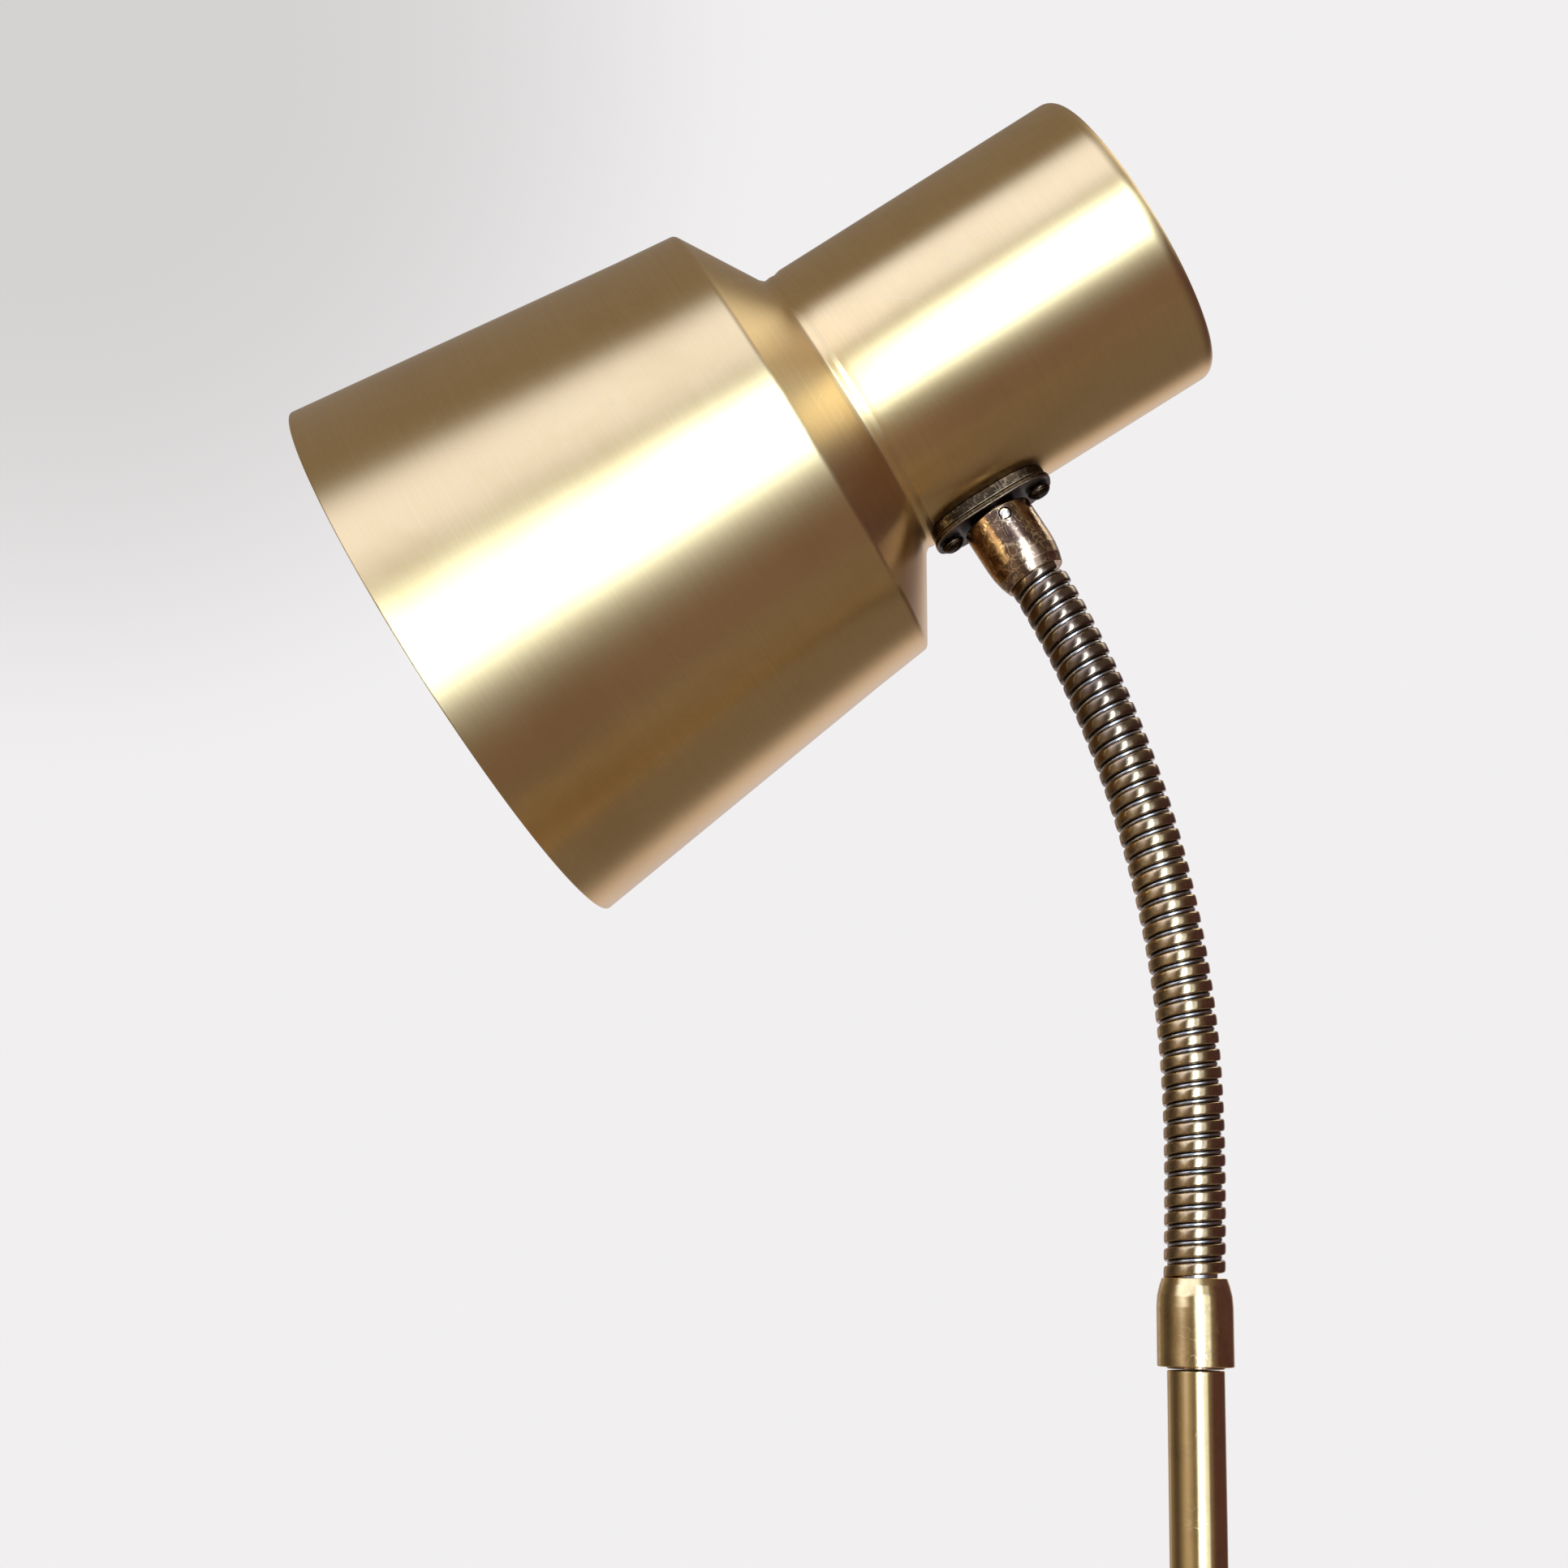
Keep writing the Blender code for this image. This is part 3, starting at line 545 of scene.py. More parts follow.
def aged_bronze(name, dark, warm, bright, edge_wear_and_glint, marked, rough):
    """Dark antique bronze, rubbed through to brass in scratches, and brass-bright on its rounded edges, partly
    as wear and partly as a painted highlight.
    """
    made, tree, shader, where = surface(name)
    patch = tree.noise(where, 210.0, detail=5.0, rough=0.65)
    mottle = tree.noise(where, 900.0, detail=3.0, shift=2.0)
    hair = scratches(tree, where, 420.0, 0.03, 0.17, 6.0)
    nicks = scratches(tree, where, 900.0, 0.05, 0.15, 9.0, (1.0, 1.0, 0.4))
    edge = tree.node("ShaderNodeAttribute", attribute_name="edge").outputs["Fac"]
    # rounded edges take the bright colour: partly rubbed-through wear, partly a painted highlight line
    rubbed_edge_and_glint = tree.math("MULTIPLY", edge, tree.span(mottle, 0.35, 0.6, edge_wear_and_glint * 0.5, edge_wear_and_glint))
    lines = tree.math("MAXIMUM", hair, nicks)
    colour = tree.mix(tree.span(patch, 0.36, 0.62), dark, warm)
    colour = tree.mix(tree.span(mottle, 0.3, 0.75, 0.0, 0.25), colour, dark)
    colour = tree.mix(tree.math("MAXIMUM", rubbed_edge_and_glint, tree.math("MULTIPLY", lines, marked)), colour, bright)
    gloss = tree.span(patch, 0.3, 0.7, rough, rough + 0.12)
    height = tree.math("SUBTRACT", mottle, tree.math("MULTIPLY", lines, 0.8))
    dress(tree, shader, colour, gloss, tree.bump(height, 0.10 * marked, 0.00008))
    return made


def neck_bronze(name):
    """The neck's band: brass on its crown, its flanks darkened as painted shade in the grooves, and darker
    towards the cup.
    """
    made, tree, shader, where = surface(name)
    crown = tree.node("ShaderNodeAttribute", attribute_name="crown").outputs["Fac"]
    cup_darkening = tree.node("ShaderNodeAttribute", attribute_name="cup_darkening").outputs["Fac"]
    patch = tree.noise(where, 240.0, detail=5.0, rough=0.65)
    mottle = tree.noise(where, 1300.0, detail=3.0, shift=2.0)
    spots = pits(tree, where, 1500.0, 0.10, 0.22)
    bright = tree.mix(tree.span(mottle, 0.3, 0.7), (0.66, 0.46, 0.22), (0.50, 0.33, 0.155))
    colour = tree.mix(tree.span(patch, 0.36, 0.66, 0.0, 0.6), bright, (0.30, 0.185, 0.09))
    # painted shade: low on the crown, towards the grooves between turns, the band goes near black-brown
    colour = tree.mix(tree.span(crown, 0.55, 0.93, 0.9, 0.0), colour, (0.09, 0.055, 0.035))
    # the band darkens towards the cup
    colour = tree.mix(tree.math("MULTIPLY", cup_darkening, 0.85), colour, (0.15, 0.10, 0.07))
    colour = tree.mix(tree.math("MULTIPLY", spots, 0.6), colour, (0.10, 0.06, 0.04))
    dress(tree, shader, colour, tree.span(patch, 0.3, 0.7, 0.13, 0.22), tree.bump(mottle, 0.15, 0.00006))
    return made


def dark_steel(name, colour, grime, rough, carried=False):
    """Drawn steel or aluminium with grime."""
    made, tree, shader, where = surface(name, carried)
    patch = tree.noise(where, 330.0, detail=4.0, rough=0.6)
    fine = tree.noise(where, 1600.0, detail=2.0, shift=4.0)
    tint = tree.mix(tree.span(patch, 0.42, 0.68, 0.0, 0.7), colour, grime)
    dress(tree, shader, tint, tree.span(patch, 0.3, 0.7, *rough), tree.bump(fine, 0.12, 0.00004))
    return made


def painted(name, colour, second, rough=0.45, scale=300.0, strength=0.15, coat=0.0, carried=False):
    """Paint, plastic or enamel: two near colours, fine grain and an even gloss."""
    made, tree, shader, where = surface(name, carried)
    cloud = tree.noise(where, 40.0, detail=4.0)
    grain = tree.noise(where, scale, detail=3.0, shift=3.0)
    dust = tree.span(tree.noise(where, 90.0, detail=6.0, rough=0.7, shift=8.0), 0.5, 0.75)
    tint = tree.mix(tree.span(cloud, 0.3, 0.7), colour, second)
    gloss = tree.math("ADD", tree.math("MULTIPLY", dust, 0.10), rough)
    dress(tree, shader, tint, gloss, tree.bump(grain, strength, 0.00005), metallic=0.0)
    shader.inputs["Coat Weight"].default_value = coat
    return made


def felt(name):
    made, tree, shader, where = surface(name)
    fibre = tree.noise(where, 1500.0, (1.0, 0.35, 1.0), detail=6.0, rough=0.8)
    cross = tree.noise(where, 1500.0, (0.35, 1.0, 1.0), detail=6.0, rough=0.8, shift=4.0)
    nap = tree.math("MAXIMUM", fibre, cross)
    cloud = tree.noise(where, 50.0, detail=4.0)
    colour = tree.mix(tree.span(nap, 0.45, 0.75), (0.018, 0.045, 0.024), (0.055, 0.115, 0.065))
    colour = tree.mix(tree.span(cloud, 0.4, 0.7, 0.0, 0.4), colour, (0.035, 0.06, 0.04))
    dress(tree, shader, colour, 0.95, tree.bump(nap, 0.7, 0.0004), metallic=0.0)
    shader.inputs["Sheen Weight"].default_value = 0.35
    return made


def opal_glass(name):
    """The bulb's frosted white glass, unlit."""
    made, tree, shader, where = surface(name)
    cloud = tree.noise(where, 60.0, detail=3.0)
    colour = tree.mix(cloud, (0.88, 0.88, 0.86), (0.80, 0.80, 0.79))
    grain = tree.noise(where, 1200.0, detail=2.0, shift=2.0)
    gloss = tree.span(cloud, 0.3, 0.7, 0.22, 0.30)
    dress(tree, shader, colour, gloss, tree.bump(grain, 0.05, 0.00003), metallic=0.0)
    shader.inputs["Coat Weight"].default_value = 0.4
    shader.inputs["Coat Roughness"].default_value = 0.08
    return made


def cast_iron(name):
    made, tree, shader, where = surface(name, carried=True)
    sand = tree.noise(where, 700.0, detail=6.0, rough=0.75)
    rust = tree.noise(where, 70.0, detail=5.0, shift=5.0)
    colour = tree.mix(tree.span(rust, 0.5, 0.72), (0.055, 0.055, 0.06), (0.13, 0.06, 0.03))
    dress(tree, shader, colour, tree.span(sand, 0.3, 0.7, 0.6, 0.85), tree.bump(sand, 0.6, 0.0005), 0.6)
    return made


SPUN = spun_brass("spun_satin_brass")
TUBE = polished_brass("drawn_brass", (1.0, 1.0, 0.03), 0.30)
CAST = polished_brass("polished_brass", (1.0, 1.0, 1.0), 0.55)
BRONZE = aged_bronze("antique_bronze", (0.19, 0.11, 0.07), (0.40, 0.25, 0.14), (0.88, 0.62, 0.33),
                     edge_wear_and_glint=0.5, marked=0.7, rough=0.14)
# near-black bronze for the plate, its screws, the spigot and the saddle seat: partly their own dark patina,
# partly painted shade
DARK_PATINA_AND_SHADE = aged_bronze("dark_bronze_patina_and_painted_shade", (0.020, 0.012, 0.007), (0.050, 0.029, 0.015), (0.42, 0.28, 0.15),
                   edge_wear_and_glint=0.6, marked=0.2, rough=0.34)
BAND = neck_bronze("neck_band_bronze")
WIRE = dark_steel("neck_wire_steel", (0.60, 0.55, 0.46), (0.16, 0.14, 0.12), (0.20, 0.34))
STEEL = dark_steel("zinc_steel", (0.52, 0.53, 0.54), (0.22, 0.21, 0.19), (0.28, 0.45), carried=True)
SCREW = dark_steel("bright_steel", (0.66, 0.55, 0.40), (0.34, 0.26, 0.17), (0.16, 0.28))
ALUMINIUM = dark_steel("lamp_cap_aluminium", (0.80, 0.80, 0.81), (0.50, 0.50, 0.50), (0.22, 0.36))
LINING = painted("white_lining", (0.83, 0.82, 0.78), (0.77, 0.75, 0.69), 0.42, 500.0, 0.2)
BLACK = painted("black_phenolic", (0.016, 0.015, 0.015), (0.030, 0.026, 0.023), 0.24, 900.0, 0.1, 0.3)
BLACK_INSIDE = painted("black_moulding", (0.018, 0.017, 0.017), (0.03, 0.027, 0.025), 0.34, 700.0,
                       carried=True)
CONTACT = polished_brass("contact_brass", tarnish=0.3, carried=True)
INSULATION = painted("lead_insulation", (0.62, 0.56, 0.40), (0.52, 0.46, 0.32), 0.5, carried=True)
IRON = cast_iron("cast_iron")
FELT = felt("green_felt")
OPAL = opal_glass("opal_glass")


# ---------------------------------------------------------------- the shade and what it carries


def shade_profile():
    """The spun shell: outside from the rear end's middle to the rim, then back along its inside."""
    wall = SHADE_WALL
    outside = [
        (0.0, SHADE_LENGTH), (16.0, SHADE_LENGTH), (BARREL_R - 8.0, SHADE_LENGTH),
        (BARREL_R, SHADE_LENGTH, 3.2), (BARREL_R, 160.0), (BARREL_R, 130.0),
        (BARREL_R, CREASE_T + 5.0), (CREASE_R + 0.02, CREASE_T + 3.4, 0.5),
        (CREASE_R + 0.16, CREASE_T + 2.2, 0.5), (CREASE_R - 0.05, CREASE_T + 0.9, 0.8),
        (CREASE_R + 1.0, CREASE_T - 0.25, 0.8),
        (SHOULDER_R + 0.1, SHOULDER_T + 0.9, 1.7),
    ]
    for i in range(1, 7):
        share = i / 7
        outside.append((SHOULDER_R + (RIM_R - SHOULDER_R) * share, SHOULDER_T * (1 - share)))
    outside.append((RIM_R, 0.0, 0.35))
    inside = [(RIM_R - wall, 0.0, 0.35)]
    for i in range(1, 7):
        share = 1 - i / 7
        inside.append((SHOULDER_R + (RIM_R - SHOULDER_R) * share - wall, SHOULDER_T * (1 - share)))
    inside += [
        (SHOULDER_R - wall, SHOULDER_T + 0.1, 1.5), (CREASE_R + 0.4 - wall, CREASE_T - 0.9, 0.8),
        (CREASE_R - wall, CREASE_T + 2.0), (BARREL_R - wall, CREASE_T + 5.0),
        (BARREL_R - wall, 150.0), (BARREL_R - wall, SHADE_LENGTH - wall, 2.6),
        (16.0, SHADE_LENGTH - wall), (0.0, SHADE_LENGTH - wall),
    ]
    return outside + inside


def build_shade():
    shell = turned("shade_shell_spun", shade_profile(), SHADE, steps=288, closed=False)
    paint_inside(shell)
    chip_rim(shell)
    finish(shell, "head", None, "satin_brass", "shade_shell")


def paint_inside(shell):
    """The faces of the shell's inner side take the white lining, from just behind the rim."""
    for material in (SPUN, LINING):
        shell.data.materials.append(material)
    for face in shell.data.polygons:
        centre = face.center / MM
        outward = face.normal.x * centre.x + face.normal.y * centre.y
        inner = outward < -0.05 * math.hypot(centre.x, centre.y) or face.normal.z < -0.5
        face.material_index = int(inner and centre.z > 0.5)


def chip_rim(shell):
    """A small nick in the rim, high on the side that faces the camera."""
    angle = math.radians(205)
    where = Vector((RIM_R * math.cos(angle), RIM_R * math.sin(angle), 0.0))
    for vertex in shell.data.vertices:
        far = (vertex.co / MM - where).length
        if far < 1.6:
            push = (1 - far / 1.6) ** 2 * 0.35
            vertex.co -= where.normalized() * push * MM
            vertex.co.z += push * 0.6 * MM


def build_plate():
    upright = on_shade(CUP_T)
    plate = oval("swivel_plate_oval", *PLATE_HALF, PLATE_U, PLATE_U + PLATE_THICK, upright, 0.35)
    for offset in (-SCREW_SPACING, SCREW_SPACING):
        cut(plate, bore(1.8, 20, 60, on_shade(CUP_T + offset), 32))
    finish(plate, "head", DARK_PATINA_AND_SHADE, "aged_bronze", "swivel_plate")
    spigot = [(0, 50), (SPIGOT_R, 50, 0.3), (SPIGOT_R, 44.2, 0.2), (5.2, 43.9), (5.2, 41.1),
              (SPIGOT_R, 40.8, 0.2), (SPIGOT_R, 39.4), (0, 39.4)]
    stub = turned("swivel_spigot", spigot, upright, 64, False)
    finish(stub, "head", DARK_PATINA_AND_SHADE, "aged_bronze")
    # the saddle seat is near black: partly patina, partly painted shadow under the plate
    saddle = oval("saddle_seat", *SADDLE_HALF, SADDLE_U, PLATE_U - 0.2, upright, 0.3)
    cut(saddle, bore(BARREL_R + 0.15, 60, 190, SHADE, 288))
    finish(saddle, "head", DARK_PATINA_AND_SHADE, "aged_bronze", "saddle_spacer")


def build_plate_screws():
    low = PLATE_U + PLATE_THICK + SCREW_GAP
    for name, offset, turn in (("front", -SCREW_SPACING, 35.0), ("rear", SCREW_SPACING, -20.0)):
        place = on_shade(CUP_T + offset, 0.0, turn)
        head = [(0, low + 1.9), (1.0, low + 1.85), (1.9, low + 1.6), (2.5, low + 1.05, 0.3),
                (2.75, low + 0.5, 0.25), (2.7, low, 0.15), (1.4, low, 0.1), (1.4, 30.2, 0.2), (0, 30.2)]
        screw = turned(f"plate_screw_{name}_slotted", head, place, 64, False)
        cut(screw, block("slot", (-4, -0.4, low + 1.05), (4, 0.4, low + 4), place))
        finish(screw, "head", DARK_PATINA_AND_SHADE, "aged_bronze", f"plate_screw_{name}")


def build_cup():
    height = NECK_END_U - CUP_TOP_U
    mouth = NECK_END_U - CUP_BOTTOM_U
    profile = [(CUP_R, height, 0.35), (CUP_R, mouth + 7.2, 2.0), (8.16, mouth + 4.8, 4.0),
               (7.7, mouth + 2.2, 3.0), (7.0, mouth, 0.3), (5.0, mouth, 0.3), (5.0, 6.5, 0.3),
               (6.2, 7.5, 0.3), (6.2, height, 0.2)]
    cup = turned("socket_cup_turned", profile, CUP, 192)
    level = NECK_END_U - SET_SCREW_U
    side = CUP @ moved(0, 0, level) @ rotated(SET_SCREW_TURN, "Z") @ rotated(90, "X")
    cut(cup, bore(1.5, 4, 12, side, 48))
    finish(cup, "socket", BRONZE, "aged_bronze", "socket_cup")
    head = [(0, 8.35), (0.8, 8.33), (1.2, 8.2, 0.12), (1.2, 5.8, 0.1), (0, 5.8)]
    screw = turned("socket_set_screw_slotted", head, side @ rotated(28, "Z"), 48, False)
    cut(screw, block("slot", (-3, -0.2, 7.8), (3, 0.2, 9), side @ rotated(40, "Z")))
    finish(screw, "socket", SCREW, "steel", "socket_set_screw")


def build_lampholder():
    cap = [(5.3, 157.7, 0.3), (14.5, 157.7, 2.0), (17.6, 155.3, 2.0), (19.0, 149.7, 3.0),
           (19.0, 146.2, 0.3), (18.6, 145.8), (18.6, 144.6), (19.0, 144.2, 0.3), (19.0, 140.3, 0.4),
           (16.4, 140.3), (16.4, 149.7, 1.5), (13.5, 153.7, 1.0), (5.3, 153.7, 0.3)]
    piece = turned("lampholder_cap_ribbed", cap, SHADE, 144, flutes=(36, 0.35, 140.8, 143.8))
    finish(piece, "head", BLACK, "black_plastic", "lampholder_cap")
    thread = []
    for i in range(8):
        top = 128.5 - i * 2.0
        thread += [(18.6, top, 0.3), (18.1, top - 1.0, 0.3)]
    body = [(0, 140), (18.6, 140, 0.3), (18.6, 130.5, 0.3)] + thread + [
        (18.6, 111.5, 0.3), (18.6, 104.0, 0.8), (14.2, 104.0, 0.5), (14.2, 135.5, 0.5), (0, 135.5)]
    piece = turned("lampholder_body_threaded", body, SHADE, 144, False)
    finish(piece, "head", BLACK, "black_plastic", "lampholder_body")
    ring = [(20.2, 115.0, 0.4), (21.0, 114.2, 0.4), (21.0, 109.8, 0.4), (20.2, 109.0, 0.4),
            (18.9, 109.0, 0.2), (18.9, 115.0, 0.2)]
    piece = turned("lampholder_ring_ribbed", ring, SHADE, 240, flutes=(40, 0.5, 109.4, 114.6))
    finish(piece, "head", BLACK, "black_plastic", "lampholder_ring")


def build_bulb():
    cap = [(0, 132.9), (3.6, 132.9, 0.6), (5.0, 131.5, 0.3), (11.0, 129.0, 0.6), (12.6, 127.3, 0.5)]
    for i in range(5):
        top = 126.5 - i * 3.4
        cap += [(13.15, top, 0.8), (12.35, top - 1.7, 0.8)]
    cap += [(13.1, 109.4, 0.5), (13.2, 107.8, 0.2), (12.2, 107.8, 0.2), (11.8, 126.0, 0.5), (0, 128.5)]
    piece = turned("bulb_cap_threaded", cap, SHADE, 128, False)
    finish(piece, "head", ALUMINIUM, "aluminium", "bulb_cap")
    outer, inner = bulb_line(0.0), bulb_line(1.0)
    glass = turned("bulb_glass_opal", outer + inner[::-1], SHADE, 128, False)
    finish(glass, "head", OPAL, "bulb_glass", "bulb_glass")


def bulb_line(inset):
    """From the round end's middle to the neck: a ball that narrows smoothly."""
    ball, neck_r, wide_t, neck_t = 30.0, 13.0, 62.5, 107.5
    line = []
    for i in range(18):
        angle = math.pi / 2 * (1 - i / 18)
        radius = (ball - inset) * math.cos(angle) if i else 0.0
        line.append((radius, wide_t - (ball - inset) * math.sin(angle)))
    for i in range(25):
        share = 0.5 * (1 + math.cos(math.pi * i / 24))
        line.append((neck_r + (ball - neck_r) * share - inset, wide_t + (neck_t - wide_t) * i / 24))
    return line


# ---------------------------------------------------------------- the neck


# The band's cross-section: along the neck from the turn's middle, and the radius
BAND_SECTION = [(-1.28, 5.0), (-1.28, 6.0), (-1.23, 6.22), (-1.11, 6.38), (-0.88, 6.46), (-0.45, 6.49),
                (0.0, 6.5), (0.45, 6.49), (0.88, 6.46), (1.11, 6.38), (1.23, 6.22), (1.28, 6.0), (1.28, 5.0)]


def around_neck(s, angle, radius):
    """Points at s along the neck, turned by angle about its centre line and radius away from it."""
    centre, side = neck_place(s)
    level = np.array([0.0, 1.0, 0.0])
    return centre + radius * (np.cos(angle)[..., None] * side + np.sin(angle)[..., None] * level)


def helix(turns, section, steps=NECK_STEPS):
    """A section swept round the neck from turns[0] to turns[1].

    Gives the points, the faces, and each point's s and radius.
    """
    pitch = NECK_LENGTH / NECK_TURNS
    count = max(2, round((turns[1] - turns[0]) * steps))
    along = np.linspace(turns[0], turns[1], count + 1)
    section = np.array(section, float)
    s = along[:, None] * pitch + section[None, :, 0]
    angle = (along[:, None] + BACK_OF_NECK) * TURN + np.zeros_like(s)
    radius = section[None, :, 1] + np.zeros_like(s)
    points = around_neck(s, angle, radius[..., None])
    rows, columns = s.shape
    faces = [tuple(f) for f in grid(rows, columns, False, True)]
    faces.append(tuple(range(columns)))
    faces.append(tuple(range((rows - 1) * columns, rows * columns))[::-1])
    return points.reshape(-1, 3), faces, s.ravel(), np.tile(section[:, 1], rows)


def core_tube(low, high, columns=24):
    """The dark inner tube behind the wire."""
    rows = max(3, round(high - low))
    s = np.repeat(np.linspace(low, high, rows)[:, None], columns, 1)
    angle = np.arange(columns)[None, :] * TURN / columns + np.zeros_like(s)
    points = around_neck(s, angle, CORE_R)
    return points.reshape(-1, 3), [tuple(f) for f in grid(rows, columns, False, True)]


def neck_bodies():
    """The two bodies that each of the CAD's neck hinges joins, from the foot up."""
    chain = ["base"] + [f"neck_{i:02d}" for i in range(1, NECK_PIECES)] + ["socket"]
    return list(zip(chain, chain[1:]))


def neck_nodes(k):
    """The CAD nodes that length k stands for."""
    if k == 0:
        return ["neck_end_lower", "neck_link_01"]
    if k == NECK_PIECES - 1:
        return ["neck_end_upper"]
    return [f"neck_link_{k + 1:02d}"]


def build_neck():
    """Thirteen lengths of wound band and wire. Twelve lie across one of the CAD's hinges each.

    The last length starts at its hinge and rides on the cup, which it runs into.
    """
    pitch = NECK_LENGTH / NECK_TURNS
    spacing = NECK_LENGTH / NECK_PIECES
    cuts = [round(spacing * k / pitch) for k in range(NECK_PIECES + 1)]
    cuts[-2] = round(spacing * (NECK_PIECES - 0.5) / pitch)
    beyond = NECK_END_U - CUP_BOTTOM_U  # how far the neck runs into the cup
    wire_section = [(pitch / 2 + WIRE_R * math.cos(a), WIRE_CENTRE_R + WIRE_R * math.sin(a))
                    for a in np.arange(12) * TURN / 12]
    for k, (low_body, high_body) in enumerate(neck_bodies()):
        first, last = k == 0, k == NECK_PIECES - 1
        turns = [cuts[k], cuts[k + 1]]
        if first:
            turns[0] += BAND_END_SHORT
        if last:
            turns[1] += beyond / pitch - BAND_END_SHORT
        ends, _ = neck_place([spacing * k + BLEND_MARGIN, spacing * (k + 1) - BLEND_MARGIN])
        across = [(low_body, ends[0] * MM), (high_body, ends[1] * MM)]
        if k in TURNED_LENGTHS:
            across.reverse()
        body = high_body if last else None
        points, faces, s, radius = helix(turns, BAND_SECTION)
        band = mesh_object(f"neck_band_{k + 1:02d}", points, faces, sharp=60.0)
        mark(band, s, radius)
        finish(band, body, BAND, "aged_bronze", *neck_nodes(k))
        wire_turns = (turns[0], turns[1] - (WIRE_END_SHORT if last else 0.0))
        points, faces, _, _ = helix(wire_turns, wire_section)
        low_s, high_s = cuts[k] * pitch, cuts[k + 1] * pitch + (beyond if last else 0.0)
        more_points, more_faces = core_tube(low_s, high_s)
        faces += [tuple(i + len(points) for i in face) for face in more_faces]
        points = np.concatenate([points, more_points])
        wire = mesh_object(f"neck_wire_{k + 1:02d}", points, faces, sharp=60.0)
        finish(wire, body, WIRE, "steel")
        if not last:
            for piece in (band, wire):
                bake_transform(piece)


def mark(band, s, radius):
    """Point attributes for the band's colour: crown is 1 at its top and low on the flanks that take painted
    shade, cup_darkening grows towards the cup.
    """
    mesh = band.data
    if len(mesh.vertices) != len(s):
        raise ValueError("the band's points changed")
    crown = np.clip((radius - BAND_FOOT_R) / (BAND_R - BAND_FOOT_R), 0, 1)
    cup_darkening = np.clip((s / NECK_LENGTH - 0.5) / 0.32, 0, 1) ** 1.2
    for name, values in (("crown", crown), ("cup_darkening", cup_darkening)):
        layer = mesh.attributes.new(name, "FLOAT", "POINT")
        layer.data.foreach_set("value", values.astype(np.float32))


# ---------------------------------------------------------------- the stem and the base


def build_stem():
    tube = [(TUBE_R, TUBE_HIGH, 0.25), (TUBE_R, 150.0), (TUBE_R, 90.0), (TUBE_R, TUBE_LOW, 0.2),
            (HOLE_R, TUBE_LOW, 0.2), (HOLE_R, TUBE_HIGH, 0.2)]
    finish(turned("stem_tube_drawn", tube, steps=128), "base", TUBE, "polished_brass", "stem_tube")
    ring = [(6.05, RING_HIGH, 0.2), (6.05, RING_LOW, 0.2), (HOLE_R, RING_LOW, 0.1), (HOLE_R, RING_HIGH, 0.1)]
    finish(turned("ferrule_ring_turned", ring, steps=128), "base", BRONZE, "aged_bronze", "ferrule_ring")
    high, lip = FERRULE_HIGH, FERRULE_LOW - FERRULE_LIP
    ferrule = [(6.85, high, 0.25), (7.35, high - 1.5, 3.0), (7.86, high - 3.6, 4.0),
               (FERRULE_R, high - 6.0, 4.0), (FERRULE_R, high - 11.0), (FERRULE_R, lip, 0.3),
               (6.3, lip, 0.2), (6.3, FERRULE_LOW, 0.1), (HOLE_R, FERRULE_LOW, 0.2), (HOLE_R, high, 0.2)]
    finish(turned("neck_ferrule_turned", ferrule, steps=160), "base", CAST, "polished_brass", "neck_ferrule")
    low = COLLAR_LOW
    collar = [(7.4, 36.0, 0.35), (8.0, 35.3, 0.35), (8.2, 31.0, 3.0), (9.6, 27.8, 3.0),
              (COLLAR_R, 25.5, 0.5), (COLLAR_R, low, 0.2), (HOLE_R, low, 0.2), (HOLE_R, 27.0, 0.2),
              (6.3, 27.0, 0.2), (6.3, 36.0, 0.2)]
    finish(turned("base_collar_turned", collar, steps=160), "base", CAST, "polished_brass", "base_collar")


def build_base():
    wall = SHELL_WALL
    shell = [(HOLE_R, BASE_TOP, 0.2), (20.0, BASE_TOP), (45.0, BASE_TOP), (70.0, BASE_TOP),
             (BASE_R, BASE_TOP, BASE_EDGE_R), (BASE_R, 4.4, 0.3), (BASE_R - 0.25, 3.9, 0.3),
             (BASE_R, 3.4, 0.3), (BASE_R, 1.5, 0.4), (BASE_R - wall, 1.5, 0.3),
             (BASE_R - wall, BASE_TOP - wall, BASE_EDGE_R - wall), (HOLE_R, BASE_TOP - wall, 0.2)]
    piece = turned("base_shell_spun", shell, steps=288)
    cut(piece, bore(6.3, 15, 30, moved(SWITCH_X, 0, 0), 64))
    side = moved(0, 0, GLAND_Z) @ rotated(90, "Y")
    cut(piece, bore(4.5, 80, 100, side, 48))
    finish(piece, "base", SPUN, "satin_brass", "base_shell")
    pad = [(0, 2.0), (60.0, 2.0), (84.0, 2.0, 0.7), (84.0, 0.0, 0.7), (60.0, 0.0), (0, 0.0)]
    finish(turned("felt_pad_soft", pad, steps=160, closed=False), "base", FELT, "felt", "felt_pad")
    gland = [(5.2, 93.6, 0.5), (6.2, 92.6, 0.5), (6.2, 90.3, 0.2), (4.2, 90.3), (4.2, 87.6), (5.4, 87.6, 0.2),
             (5.4, 85.5, 0.2), (2.6, 85.5, 0.2), (2.6, 93.6, 0.6)]
    piece = turned("cord_gland_ribbed", gland, side, 120, flutes=(12, 0.3, 90.4, 93.0))
    finish(piece, "base", BLACK, "black_plastic", "cord_gland")


